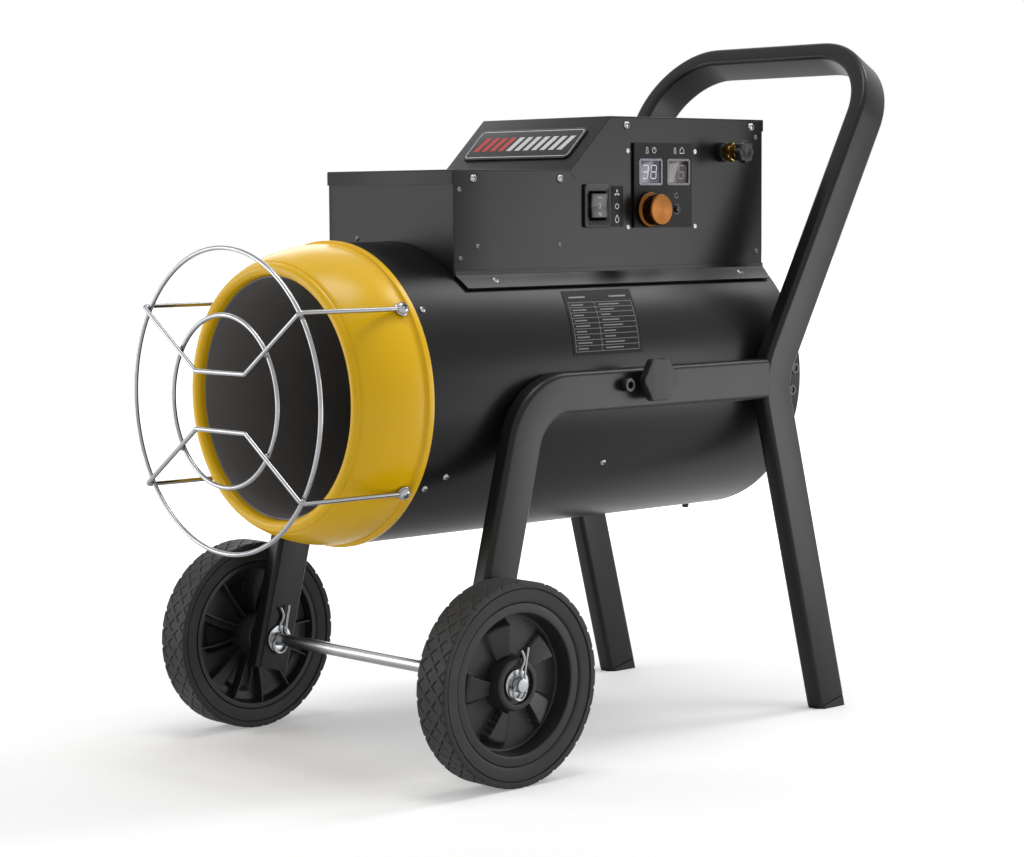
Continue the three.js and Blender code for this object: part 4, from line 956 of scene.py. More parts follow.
    def back_rows(self) -> Array:
        """Section of the inner side from the rim back to the bore."""
        web = self.web_depth - 3.0
        wall = rounded([(1.5, self.rim_radius), (1.5, 55.6), (web, 54.0), (web, 48.0)], [0.5, 3.0],
                       steps=5)
        plain = np.column_stack([np.full(12, web), np.linspace(47.0, 22.0, 12)])
        boss = rounded([(web, 18.0), (self.boss_foot, 16.5), (self.boss_foot, self.bore),
                        (self.recess_floor, self.bore)], [1.0, 0.4], steps=4)
        return np.vstack([wall[1:], plain, boss[:-1]])

    def petal_share(self, rows: Array) -> Array:
        """How much of the petals' rise each row takes: all on the web, none at the boss and rim."""
        faces = (self.web_depth, self.web_depth - 3)
        return np.any([np.abs(rows[:, 0] - face) < 0.01 for face in faces], axis=0).astype(float)

    def petal_height(self, reach: Array, angle: Array) -> Array:
        """The petals' rise: two fifths of each pitch stands up, highest at its first edge.

        The place in a pitch is u = petals * (angle - start) / turn + swirl * radius, and the rise
        falls to half its height by u = 0.42 and fades out towards the rim.
        """
        lean = 0.0035 * (reach - self.boss_radius)
        u = (self.petals * (angle - 0.42) / FULL_TURN + lean) % 1.0
        up = smooth_step(u, 0.0, 0.035) * (1 - smooth_step(u, 0.40, 0.47))
        tilt = 1 - 0.5 * np.clip(u / 0.42, 0, 1)
        return self.petal_rise * up * tilt * (1 - smooth_step(reach, 42.0, 48.0))

    def rib(self) -> Surface:
        """A thin curved rib on the inner side: it bends sideways as a sine of its length."""
        start, end, sway, rows = 16.0, 56.0, 5.0, self.rib_rows
        reach = np.linspace(start, end, rows)
        bend = sway * np.sin((reach - start) / (end - start) * np.pi / 2)
        foot = np.column_stack([reach, np.full(rows, self.web_depth - 1.0), bend])
        crest = np.column_stack([reach, np.full(rows, 3.2), bend])
        half = np.array([0, 0, 0.7])
        loop = np.stack([foot - half, crest - half * 0.8, crest + half * 0.8, foot + half], axis=1)
        return grid(loop, capped=True)


# -------------------------------------------------------------------- barrel

@dataclass
class Barrel:
    """Barrel shell, yellow cowl and flame tube, turned about the barrel's axis."""

    bench: Bench
    axis_z: float = AXIS_Z
    radius: float = 113.3
    sheet: float = 1.0
    front_x: float = -36.0
    rear_x: float = 369.3
    rear_lip: float = 7.0
    cowl_rear_x: float = -32.8
    cowl_sheet: float = 1.3
    bead: float = 5.2
    neck_radius: float = 112.6
    lip_x: float = -93.1
    lip_roll: float = 4.7
    mouth_radius: float = 90.4
    mouth_depth: float = 11.0
    tube_rear_x: float = 152.0
    steps: int = 192

    def build(self) -> None:
        """Makes the three shells and the trim on them."""
        self.shell()
        self.cowl()
        self.flame_tube()
        self.screws()

    def lathe(self, name: str, profile: Array, finish: Finish, node: str, slot: str) -> None:
        """Turns a closed profile about the barrel's axis."""
        shape = revolved(profile, Axis.X, self.steps, looped=True).moved(z=self.axis_z)
        self.bench.piece(name, shape, finish, "heater", node, slot=slot)

    def shell(self) -> None:
        """Rolled sheet with a rounded, turned-in rear edge."""
        outer, inner = self.radius, self.radius - self.sheet
        lip = outer - self.rear_lip
        outline = rounded([(self.front_x, inner), (self.front_x, outer), (self.rear_x, outer),
                           (self.rear_x, lip), (self.rear_x - self.sheet, lip),
                           (self.rear_x - self.sheet, inner)], [0, 0.2, 3.0, 0.3, 0.3, 2.0],
                          closed=True)
        self.lathe("rolled_barrel", outline, PANEL_COAT, "barrel_shell", "panel_paint")

    def cowl(self) -> None:
        """Spun cowl: a bead, a step, a bowed wall, a crease and a rolled lip round the mouth."""
        rear, front = self.cowl_rear_x, self.cowl_rear_x - self.bead
        seat = self.radius + 0.3
        top = seat + self.cowl_sheet
        back = rounded([(rear - 3, seat), (rear, seat), (rear, top), (front, top),
                        (front - 1.0, self.neck_radius), (front - 4, self.neck_radius - 0.1)],
                       [0.2, 0.6, 1.0, 1.0], steps=6)
        centre_x, centre_r = self.lip_x + self.lip_roll, self.mouth_radius + self.lip_roll
        start_x, crest = front - 4.0, centre_r + self.lip_roll + 1.0
        run, drop = start_x - centre_x, self.neck_radius - 0.1 - crest
        bow = (run * run + drop * drop) / (2 * drop)
        turn = np.linspace(0, np.arcsin(run / bow), 22)[1:]
        wall = np.column_stack([start_x - bow * np.sin(turn),
                                self.neck_radius - 0.1 - bow * (1 - np.cos(turn))])
        crease = np.array([(centre_x - 0.7, centre_r + self.lip_roll + 0.15)])
        roll = np.linspace(0.12, np.pi, 18)
        lip = np.column_stack([centre_x - self.lip_roll * np.sin(roll),
                               centre_r + self.lip_roll * np.cos(roll)])
        end = self.lip_x + self.mouth_depth
        throat = np.array([(end, self.mouth_radius), (end, self.mouth_radius + self.cowl_sheet)])
        inner = self.lip_roll - self.cowl_sheet
        inside = np.column_stack([centre_x - inner * np.sin(roll[::-2]),
                                  centre_r + inner * np.cos(roll[::-2])])
        lining = wall[::-4] - (0, self.cowl_sheet)
        profile = np.vstack([back, wall, crease, lip, throat, inside, lining,
                             [(front - 1.2, seat - self.cowl_sheet - 0.9)]])
        self.lathe("spun_front_cowl", profile, COWL_ENAMEL, "front_cowl", "cowl_paint")

    def flame_tube(self) -> None:
        """Plain tube with a small return at its front edge."""
        front = self.lip_x + self.mouth_depth - 4
        outer = self.mouth_radius - 0.3
        outline = rounded([(front, outer - 1), (front, outer), (self.tube_rear_x, outer),
                           (self.tube_rear_x, outer - 1)], 0.3, closed=True, steps=3)
        self.lathe("rolled_flame_tube", outline, FLAME_STEEL, "flame_tube", "heat_steel")

    def screws(self) -> None:
        """Pan-head screws in the barrel's side, each square to the sheet."""
        spots = [(-24.6, 35.3), (-24.6, -34.9), (-8.0, -30.3), (154.4, -30.8)]
        stood = screw_head(2.6, 1.8).moved(z=self.radius)
        heads = [stood.turned(Axis.X, 90 - degrees).moved(x=x, z=self.axis_z) for x, degrees in spots]
        self.bench.piece("barrel_screws", combined(heads + [head.opposite() for head in heads]),
                         ZINC_PLATE, "heater", slot="zinc")


def screw_head(radius: float, height: float, cross: float = 0.55, dome: float = 0.5) -> Surface:
    """A pan head on the plane z = 0 with a cross recess.

    The height over radius r is height * (1 - (r / radius)^2)^dome and drops inside the cross, where
    the smaller of abs(x) and abs(y) is under a sixth of the radius.

    Args:
        radius: Radius of the head.
        height: Height of the head.
        cross: Reach of the recess as a share of the radius.
        dome: Exponent that sets how full the dome is.
    """
    rows, columns = 15, 48
    share = np.linspace(1, 0, rows)[:, None]
    t = angles(columns)
    x, y = share * np.cos(t), share * np.sin(t)
    z = height * np.clip(1 - share ** 2, 0, 1) ** dome * np.ones(columns)
    slot = (np.minimum(np.abs(x), np.abs(y)) < 0.15) & (np.maximum(np.abs(x), np.abs(y)) < cross)
    z = z - slot * height * 0.45
    top = np.stack([radius * x, radius * y, z], axis=-1)
    under = np.stack([radius * x[:1] * 0.6, radius * y[:1] * 0.6, np.full((1, columns), -0.4)], axis=-1)
    return grid(np.concatenate([under, top]), capped=True)


# --------------------------------------------------------------------- guard

@dataclass
class Guard:
    """Two rings and two bent wires of bright wire, held by four domed screws."""

    bench: Bench
    axis_z: float = AXIS_Z
    wire: float = 3.5
    outer: float = 111.2
    inner: float = 62.7
    ring_x: float = -134.5
    angle: float = 35.5
    run_half: float = 29.7
    eyelet_x: float = -44.8
    seat: float = 112.9
    screw_radius: float = 4.75

    def build(self) -> None:
        """Makes the rings, the wires, their welds and the screws."""
        for name, radius in (("outer", self.outer), ("inner", self.inner)):
            ring = tube_ring(radius, self.wire, steps=160).moved(x=self.ring_x, z=self.axis_z)
            self.bench.piece(f"guard_{name}_hoop", ring, BRIGHT_WIRE, "heater", f"guard_{name}_ring",
                             slot="stainless")
        for name, sign in (("upper", 1), ("lower", -1)):
            self.bench.piece(f"guard_{name}_bent_wire", self.bent_wire(sign), BRIGHT_WIRE, "heater",
                             f"guard_{name}_wire", slot="stainless")
            for side, way in SIDES.items():
                screw = self.at_corner(self.screw(), way, sign)
                self.bench.piece(f"guard_cap_screw_{name}_{side}", screw, ZINC_PLATE, "heater",
                                 f"guard_screw_{name}_{side}", slot="zinc")
        self.bench.piece("guard_spot_welds", self.welds(), BRIGHT_WIRE, "heater", slot="stainless")

    @property
    def leg_radius(self) -> float:
        """Distance of the legs from the barrel's axis, just outside the outer ring."""
        return self.outer + self.wire + 0.3

    @property
    def wire_x(self) -> float:
        """Plane of the bent wires, in front of the rings."""
        return self.ring_x - self.wire - 0.3

    def at_corner(self, surface: Surface, way: int, sign: int) -> Surface:
        """Turns a shape that stands on +Z, about the barrel's axis, to one corner of the guard."""
        degrees = (90 - self.angle) * way
        turned = surface.turned(Axis.X, -degrees)
        return (turned if sign > 0 else turned.mapped(lambda p: p * (1, 1, -1))).moved(z=self.axis_z)

    def bent_wire(self, sign: int) -> Surface:
        """Two legs, two slanting spokes and a short run across, with flattened eyes at the ends."""
        a = np.radians(self.angle)
        leg_y, leg_z = self.leg_radius * np.cos(a), sign * self.leg_radius * np.sin(a)
        half = [(self.eyelet_x - 5.0, leg_y, leg_z), (self.wire_x, leg_y, leg_z),
                (self.wire_x, self.run_half, sign * self.run_half * np.tan(a))]
        corners = half + [(x, -y, z) for x, y, z in reversed(half)]
        path = rounded(corners, 3.2, steps=8)
        wire = swept(path, circle(self.wire / 2, 14), (0, 1, 0)).moved(z=self.axis_z)
        loop = tube_ring(4.4, 2.6, Axis.Z, 40, 12).mapped(lambda p: p * (1, 1, 0.75))
        eye = loop.moved(x=self.eyelet_x, z=self.seat + 1.1)
        eyes = [self.at_corner(eye, way, sign) for way in SIDES.values()]
        return combined([wire] + eyes)

    def screw(self) -> Surface:
        """Domed head with its washer face, standing at the eyelet."""
        head = screw_head(self.screw_radius, 3.3, cross=0.5)
        collar = slab(circle(self.screw_radius + 0.3, 40), 0.9, 0.3)
        return (head.moved(z=0.9) + collar).moved(x=self.eyelet_x, z=self.seat + 2.1)

    def welds(self) -> Surface:
        """A small drop of weld where each spoke crosses a ring."""
        a = np.radians(self.angle)
        middle = (self.ring_x + self.wire_x) / 2
        drops = []
        for radius in (self.outer + 1.6, self.inner):
            for y in (-1, 1):
                for z in (-1, 1):
                    drops.append(blob((2.6, 2.3, 2.3)).moved(
                        middle, y * radius * np.cos(a), self.axis_z + z * radius * np.sin(a)))
        return combined(drops)


# --------------------------------------------------------------- control box

@dataclass
class ControlBox:
    """Folded sheet box over the barrel, with foot flanges, a stepped cover, a badge and screws."""

    bench: Bench
    axis_z: float = AXIS_Z
    front_x: float = 23.5
    rear_x: float = 365.0
    half: float = 73.4
    sheet: float = 1.2
    bend: float = 0.6
    low_roof: float = 443.5
    high_roof: float = 485.7
    slope_from: float = 144.1
    slope_to: float = 187.8
    cover_sheet: float = 1.5
    saddle: float = 113.6
    flange_radius: float = 114.65
    flange_length: float = 14.0
    level: float = 433.0
    holes: tuple[tuple[float, float, float, float], ...] = (
        (159.1, 184.2, 402.2, 432.6), (224.7, 231.3, 410.7, 417.3), (256.9, 263.1, 411.3, 417.5))

    def build(self) -> None:
        """Makes the walls, the flanges, the cover, the badge and the screws."""
        self.walls()
        for side in SIDES:
            flange = on_side(self.flange(), side)
            self.bench.piece(f"box_flange_{side}", flange, PANEL_COAT, "heater", slot="panel_paint",
                             sheet_mm=self.sheet)
        self.cover()
        self.badge()
        self.screws()
        self.seams()

    def roof(self, x: Array) -> Array:
        """Height of the roof at each distance along the box."""
        return np.interp(x, [self.slope_from, self.slope_to], [self.low_roof, self.high_roof])

    def walls(self) -> None:
        """Four walls in one sheet round the box, with the openings behind the controls left out.

        The columns go round the plan. Below a fixed level the rows spread from the saddle, whose
        height is the root of saddle^2 - y^2, and above it they spread up to the roof.
        """
        r = self.bend
        near_x = np.array([self.front_x + r, 60, 100, self.slope_from, 159.1, 184.2, self.slope_to,
                           224.7, 231.3, 256.9, 263.1, 300, 335, self.rear_x - r])
        end_y = np.linspace(-self.half + r, self.half - r, 25)
        turn = np.linspace(0, np.pi / 2, 6)[1:-1]
        out, along = r * np.sin(turn), r * np.cos(turn)
        near = np.column_stack([near_x, np.full(len(near_x), -self.half)])
        corner = np.column_stack([self.rear_x - r + out, -self.half + r - along])
        rear = np.column_stack([np.full(25, self.rear_x), end_y])
        middle = (self.front_x + self.rear_x) / 2
        half_way = np.vstack([near, corner, rear, corner[::-1] * (1, -1)])
        far = near[::-1] * (1, -1)
        front_corner = corner * (-1, -1) + (2 * middle, 0)
        front = np.column_stack([np.full(25, self.front_x), end_y[::-1]])
        plan = np.vstack([half_way, far, front_corner, front, front_corner[::-1] * (1, -1)])
        foot = self.axis_z + np.sqrt(self.saddle ** 2 - plan[:, 1] ** 2)
        lowest = float(foot.min())
        levels = np.array([lowest, 380, 402.2, 410.7, 411.3, 417.3, 417.5, 432.6, self.level, 455,
                           self.high_roof])
        below = np.clip((levels - lowest) / (self.level - lowest), 0, 1)[:, None]
        above = np.clip((levels - self.level) / (self.high_roof - self.level), 0, 1)[:, None]
        roof = self.roof(plan[:, 0])
        height = foot + below * (self.level - foot) + above * (roof - self.level)
        flat = np.broadcast_to(plan[None], (len(levels),) + plan.shape)
        shell = grid(np.concatenate([flat, height[..., None]], axis=-1))
        boxes = [((x0, -np.inf, z0), (x1, -self.half + 0.01, z1)) for x0, x1, z0, z1 in self.holes]
        self.bench.piece("folded_box_walls", opened(shell, boxes), PANEL_COAT, "heater", "control_box",
                         slot="panel_paint", sheet_mm=self.sheet)

    def cover(self) -> None:
        """One folded sheet over the roof: front fold, low roof, slope, high roof and rear fold."""
        thick, fold_x = self.cover_sheet, 22.0
        lean = np.arctan2(self.high_roof - self.low_roof, self.slope_to - self.slope_from)
        back = thick * np.tan(lean / 2)
        low, high = self.low_roof + thick, self.high_roof + thick
        corners = [(fold_x, 0, 434.3), (fold_x, 0, low), (self.slope_from - back, 0, low),
                   (self.slope_to - back, 0, high), (366.5, 0, high), (366.5, 0, 477.7)]
        section = rounded([(-self.half, -thick), (-self.half, 0), (self.half, 0), (self.half, -thick)],
                          0.5, steps=4)
        sheet = swept(rounded(corners, [1.2, 0.8, 0.8, 1.2], steps=5), section, (0, 1, 0))
        self.bench.piece("folded_top_cover", sheet, PANEL_COAT, "heater", "top_cover",
                         slot="panel_paint", sharp=30)

    def seams(self) -> None:
        """Painted shade: black strips that stand in for the shadow in the relief cuts below the slope
        and in the open seam where the front wall meets the near side.
        """
        slit_shade = band(np.array([(143.9, 443.6), (149.9, 437.3)]), 1.0, 0.06, closed=False)
        slit_shades = slit_shade.turned(Axis.X, 90).moved(y=-self.half)
        self.bench.piece("cover_relief_slits", slit_shades + slit_shades.opposite(), SEAM_SHADE, "heater")
        strips = []
        for x, low, top in ((self.front_x, 364.5, 434.0), (22.0, 434.6, 444.2)):
            strip = slab(rounded_rectangle(0.06, 0.7, 0.01, 1), top - low, 0.01, 1)
            strips.append(strip.moved(x, 0.5 - self.half, low))
        self.bench.piece("front_wall_seam", combined(strips), SEAM_SHADE, "heater")

    def flange(self) -> Surface:
        """The right-hand foot flange: a short fold, then an arc on the barrel, tapered in front."""
        reach = self.flange_radius
        start = np.arccos(self.half / reach)
        angles = start - np.linspace(0, self.flange_length / reach, 12)
        arc = np.column_stack([reach * np.cos(angles), self.axis_z + reach * np.sin(angles)])
        top = np.array([(self.half + 0.04, arc[0, 1] + 3.5)])
        profile = rounded(np.vstack([top, arc[:1] + (0.04, 0), arc[4:]]), [1.8] + [0.0] * 7, steps=5)
        share = np.linspace(0, 1, 60)[None, :]
        drop = np.clip((arc[0, 1] - profile[:, 1:]) / (arc[0, 1] - arc[-1, 1]), 0, 1)
        first, last = self.front_x + 0.2 + 4.0 * drop, self.rear_x - 0.2 - 2.0 * drop
        x = first + share * (last - first)
        y, z = (np.broadcast_to(profile[:, k:k + 1], x.shape) for k in (0, 1))
        return grid(np.stack([x, y, z], axis=-1), around=False)

    def badge(self) -> None:
        """Gloss plate on the slope, with a light outline and a row of slanted bars."""
        lean = np.degrees(np.arctan2(self.high_roof - self.low_roof, self.slope_to - self.slope_from))

        def on_slope(surface: Surface, seat: float) -> Surface:
            """Lays a flat shape on the slope: its X goes up the slope."""
            return surface.moved(z=seat).turned(Axis.Y, -lean).moved(
                (self.slope_from + self.slope_to) / 2, 0, (self.low_roof + self.high_roof) / 2)

        plate = slab(rounded_rectangle(34, 123, 5), 1.2, 0.4)
        self.bench.piece("gloss_badge", on_slope(plate, 1.8), GLOSS_ABS, "heater", "badge_plate",
                         slot="gloss_black")
        frame_line = band(rounded_rectangle(29.5, 118.5, 3.4, 8), 0.7, 0.06)
        bars = [parallelogram(0, 48.5 - 9.7 * i, 15.5, 5.6, 5.5) for i in range(11)]
        pale = combined([frame_line] + [slab(bar, 0.06, 0.01, 1) for bar in bars[4:]])
        red = combined([slab(bar, 0.06, 0.01, 1) for bar in bars[:4]])
        self.bench.piece("badge_pale_bars", on_slope(pale, 3.0), WHITE_PRINT, "heater", sharp=30)
        self.bench.piece("badge_red_bars", on_slope(red, 3.0), RED_PRINT, "heater", sharp=30)

    def screws(self) -> None:
        """Cover, panel, plate, flange and end-wall screws, each on its own face."""
        def stood(radius: float, height: float, x: float, z: float, y: float) -> Surface:
            """A screw head on the near side, facing -Y."""
            return screw_head(radius, height).turned(Axis.X, 90).moved(x, -y, z)

        large = [stood(3.3, 2.4, x, z, self.half)
                 for x, z in ((205.4, 480.2), (350.7, 481.1), (42.9, 438.3), (132.7, 438.2))]
        for x in (60.2, 332.1):
            head = screw_head(3.4, 2.5).moved(z=self.flange_radius).turned(Axis.X, 90 - 47.2)
            large.append(head.moved(x=x, z=self.axis_z))
        small = [stood(2.0, 1.2, x, z, self.half)
                 for x, z in ((28.9, 430.1), (29.8, 379.1), (46.9, 387.8), (132.2, 387.6),
                              (356.7, 472.6), (357.8, 379.2))]
        ends = [screw_head(2.3, 1.4).turned(Axis.Y, -90).moved(self.front_x, 39.3, 393.4)]
        ends += [screw_head(2.3, 1.4).turned(Axis.Y, 90).moved(self.rear_x, y, z)
                 for y in (-62, 62) for z in (385, 470)]
        near = [stood(2.0, 1.4, x, z, self.half)
                for x, z in ((206.9, 460.1), (283.7, 460.1), (207.0, 400.4), (283.7, 400.4))]
        # The small panel and end-wall screws take the zinc plate painted darker, as shade.
        for name, heads, finish in (("cover", large, ZINC_PLATE), ("panel", small, SHADED_ZINC)):
            both = combined(heads + [head.opposite() for head in heads])
            self.bench.piece(f"box_{name}_screws", both, finish, "heater", slot="zinc")
        self.bench.piece("box_end_screws", combined(ends), SHADED_ZINC, "heater", slot="zinc")
        # The controller plate's screws take the whitened plate, a painted highlight.
        self.bench.piece("plate_screws", combined(near), WHITENED_PLATE, "heater", slot="zinc")


def band(line: Array, width: float, height: float, closed: bool = True) -> Surface:
    """A raised flat line in X and Y: half a width either side of its points, from z = 0 to height."""
    step = np.roll(line, -1, axis=0) - np.roll(line, 1, axis=0) if closed else np.gradient(line, axis=0)
    ahead = unit(step)
    across = np.stack([-ahead[:, 1], ahead[:, 0]], axis=-1) * width / 2
    low, high = np.zeros((len(line), 1)), np.full((len(line), 1), height)
    corners = [np.hstack([line + across, low]), np.hstack([line + across, high]),
               np.hstack([line - across, high]), np.hstack([line - across, low])]
    return grid(np.stack(corners, axis=1), looped=closed, capped=not closed)


def parallelogram(x: float, y: float, height: float, width: float, slant: float) -> Array:
    """Outline of a bar along X that leans by slant from its lower to its upper end."""
    h, w, s = height / 2, width / 2, slant / 2
    return np.array([(x - h, y - w + s), (x + h, y - w - s), (x + h, y + w - s), (x - h, y + w + s)])


def pierced(xs: Sequence[float], zs: Sequence[float], holes: Sequence[Sequence[float]]) -> Surface:
    """A flat sheet in X and Y from grid lines, without the cells inside the holes.

    Args:
        xs: Grid lines across, which include each hole's sides.
        zs: Grid lines upwards, which include each hole's ends.
        holes: Left, right, bottom and top of each hole.
    """
    across, up = np.meshgrid(np.unique(xs), np.unique(zs))
    sheet = grid(np.stack([across, up, np.zeros_like(across)], axis=-1), around=False)
    return opened(sheet, [((a, c, -np.inf), (b, d, np.inf)) for a, b, c, d in holes])


# ------------------------------------------------------------------ controls

@dataclass
class Controls:
    """Rocker switch, controller plate with two displays, knob, reset button and gas valve."""

    bench: Bench
    panel_y: float = 73.7
    rocker_x: float = 171.65
    rocker_z: float = 417.4
    pivot_y: float = 70.0
    plate_face: float = 75.5
    windows: tuple[float, float] = (230.55, 262.45)
    window_z: float = 443.85
    window_width: float = 26.7
    window_height: float = 21.3
    knob_x: float = 228.0
    knob_z: float = 414.0
    reset_x: float = 260.0
    reset_z: float = 414.4
    valve_x: float = 316.0
    valve_z: float = 460.0

    def build(self) -> None:
        """Makes everything on the panel."""
        self.rocker_switch()
        self.label_strip()
        self.controller_plate()
        self.displays()
        self.knob()
        self.reset()
        self.valve()

    def on_panel(self, surface: Surface, x: float, z: float, seat: float) -> Surface:
        """Stands a flat shape on the panel: its Y goes up and its height comes out towards -Y."""
        return surface.turned(Axis.X, 90).moved(x, -seat, z)

    def stood(self, surface: Surface, x: float, z: float) -> Surface:
        """Stands a shape turned about Y on the panel, its length coming out towards -Y."""
        return surface.opposite().moved(x, -self.panel_y, z)

    def rocker_switch(self) -> None:
        """Bezel as nested rounded rectangles, from the pocket's floor over the flange to its back."""
        loops = [(18.3, 22.8, 0.6, -13.0), (18.3, 22.8, 0.6, 1.2), (19.6, 24.1, 1.0, 1.6),
                 (23.2, 28.2, 1.4, 1.7), (24.6, 29.8, 1.5, 2.0), (27.5, 32.8, 2.0, 2.0),
                 (28.3, 33.6, 2.2, 1.7), (28.5, 33.8, 2.3, 1.2), (28.5, 33.8, 2.3, 0.0),
                 (24.5, 29.8, 1.0, 0.0), (24.5, 29.8, 1.0, -17.0)]
        rows = [np.column_stack([rounded_rectangle(w, h, r, 5), np.full(24, z)])
                for w, h, r, z in loops]
        bezel = grid(np.stack(rows), capped=True)
        bezel = self.on_panel(bezel, self.rocker_x, self.rocker_z, self.panel_y)
        self.bench.piece("switch_bezel", bezel, MOULDED_NYLON, "heater", "rocker_bezel",
                         slot="black_plastic", sharp=35)
        reach = 22.8 / 2 - 0.3
        low = np.sqrt(reach ** 2 - 25)
        side = [(-7.9, reach - 1.9), (-6.9, 0.0), (-7.9, 1.9 - reach), (-5, -low), (0, -reach),
                (4, -reach * 0.75), (4, reach * 0.75), (0, reach), (-5, low)]
        outline = rounded(side, [1.0, 9.0, 1.0, 0.5, 1.0, 1.0, 1.0, 1.0, 0.5], closed=True, steps=5)
        # The slab's X is the rocker's depth, its Y the panel's height and its height runs along X.
        body = slab(outline, 17.7, 0.7, 4, bottom_edge=0.7).moved(z=-17.7 / 2)
        body = body.mapped(lambda p: p[:, [2, 0, 1]]).moved(self.rocker_x, -self.pivot_y, self.rocker_z)
        self.bench.piece("three_way_rocker", body, GLOSS_ABS, "mode_rocker", "mode_rocker",
                         slot="gloss_black", sharp=35)
        stroke, lift = 0.45, 0.12
        strokes = [band(np.array([(-1.7, y), (1.7, y)]), stroke, lift, closed=False)
                   for y in (6.3, -5.6, -7.1)]
        strokes.append(band(circle(1.0, 32) * (1.15, 1.9), stroke, lift))
        marks = combined(strokes).mapped(self.on_rocker_face)
        marks = self.on_panel(marks, self.rocker_x, self.rocker_z, self.pivot_y)
        self.bench.piece("rocker_marks", marks, WHITE_PRINT, "mode_rocker")

    def on_rocker_face(self, points: Array) -> Array:
        """Lifts flat marks onto the rocker's dished face."""
        reach = 22.8 / 2 - 2.2
        dish = 6.98 + 0.92 * np.clip(np.abs(points[:, 1]) / reach, 0, 1)
        soft = 0.28 * np.exp(-(points[:, 1] / 2.0) ** 2)
        return np.column_stack([points[:, :2], points[:, 2] + dish + soft])

    def label_strip(self) -> None:
        """Film beside the rocker with a fan, a ring and a flame."""
        film = slab(rounded_rectangle(13.8, 31.8, 0.6), 0.25, 0.1, 2)
        self.bench.piece("rocker_label", self.on_panel(film, 194.5, 416.9, 73.4), PRINTED_FILM,
                         "heater", slot="gloss_black")
        blade = np.column_stack([circle(1.0, 20)[:, 0] * 0.75, 1.75 + circle(1.0, 20)[:, 1] * 1.25])
        fan = [slab(blade, 0.05, 0.01, 1).turned(Axis.Z, turn).moved(y=10.2) for turn in (0, 120, 240)]
        flame = rounded([(0, 3.2), (2.2, -0.6), (0.9, -2.8), (-0.9, -2.8), (-2.2, -0.6)],
                        [0.2, 1.4, 1.0, 1.0, 1.4], closed=True)
        marks = combined(fan + [band(circle(1.9, 32), 0.6, 0.05), band(flame - (0, 9.8), 0.6, 0.05)])
        self.bench.piece("rocker_label_marks", self.on_panel(marks, 194.5, 416.9, 73.65), WHITE_PRINT,
                         "heater")

    def controller_plate(self) -> None:
        """Gloss plate with two windows and openings for the knob's shaft and the reset button."""
        half_w, half_h = self.window_width / 2, self.window_height / 2
        openings = [(x - half_w, x + half_w, self.window_z - half_h, self.window_z + half_h)
                    for x in self.windows]
        openings += [(x - half, x + half, z - half, z + half) for x, z, half in
                     ((self.knob_x, self.knob_z, 3.3), (self.reset_x, self.reset_z, 3.1))]
        xs = [212.0, 278.0] + [edge for a, b, _, _ in openings for edge in (a, b)]
        zs = [400.0, 466.6] + [edge for _, _, c, d in openings for edge in (c, d)]
        plate = pierced(xs, zs, openings).turned(Axis.X, 90).moved(y=-self.plate_face)
        self.bench.piece("gloss_controller_plate", plate, PRINTED_FILM, "heater", "controller_plate",
                         slot="gloss_black", sheet_mm=1.8, front=(0, -1, 0))

    def displays(self) -> None:
        """Display body, and in each window a clear frame, a dark face and two seven-segment digits."""
        self.bench.refined("display_module", GLOSS_ABS, "gloss_black", bevel_mm=0.3)
        # The set display's face and rim carry its glow as painted colour; the room display's are unlit.
        looks = (("set", "38", LIT_SEGMENT, GLOW_PAINTED_FACE, GLOW_PAINTED_RIM),
                 ("room", "26", DIM_SEGMENT, BROWN_LENS, BROWN_RIM))
        for (name, value, lit, lens, edge), x in zip(looks, self.windows):
            face = slab(rounded_rectangle(25.6, 20.2, 1.0), 0.15, 0.05, 2)
            self.bench.piece(f"display_face_{name}", self.on_panel(face, x, self.window_z, 75.0), lens,
                             "heater", slot="gloss_black")
            rim = band(rounded_rectangle(24.6, 19.2, 1.2, 6), 1.8, 0.75)
            self.bench.piece(f"display_rim_{name}", self.on_panel(rim, x, self.window_z, 75.05), edge,
                             "heater", slot="gloss_black", sharp=30)
            digits = combined([self.digit(figure).moved(x=shift)
                               for figure, shift in zip(value, (-5.6, 3.6))])
            self.bench.piece(f"display_digits_{name}", self.on_panel(digits, x, self.window_z, 75.15),
                             lit, "heater", slot="gloss_black")
        stem = rounded([(-0.8, 1.4), (-0.8, -0.6), (-1.5, -1.8), (0, -3.2), (1.5, -1.8), (0.8, -0.6),
                        (0.8, 1.4), (0, 2.6)], [0.1, 0.3, 1.0, 1.4, 1.0, 0.3, 0.1, 0.8], closed=True)
        hand = band(np.array([(0.0, 0.2), (1.1, 1.4)]), 0.5, 0.05, closed=False)
        dial = [band(circle(2.1, 32), 0.5, 0.05), hand]
        house = rounded([(-2.3, -2.2), (2.3, -2.2), (2.3, 0.4), (0, 2.6), (-2.3, 0.4)], 0.2,
                        closed=True)
        above = [band(stem, 0.5, 0.05).moved(self.windows[0] - 4, 461.2)]
        above += [mark.moved(self.windows[0] + 4, 461.0) for mark in dial]
        above += [band(stem, 0.5, 0.05).moved(self.windows[1] - 4, 461.2)]
        above += [band(house, 0.5, 0.05).moved(self.windows[1] + 4, 461.0)]
        arrow = np.linspace(0.9, 6.3, 30)[:, None]
        turn = band(np.hstack([1.9 * np.cos(arrow), 1.9 * np.sin(arrow)]), 0.5, 0.05, closed=False)
        self.bench.piece("plate_marks", combined(above).turned(Axis.X, 90).moved(y=-self.plate_face),
                         WHITE_PRINT, "heater")
        self.bench.piece("reset_mark", self.on_panel(turn, self.reset_x, 425.0, self.plate_face),
                         GREY_PRINT, "heater")

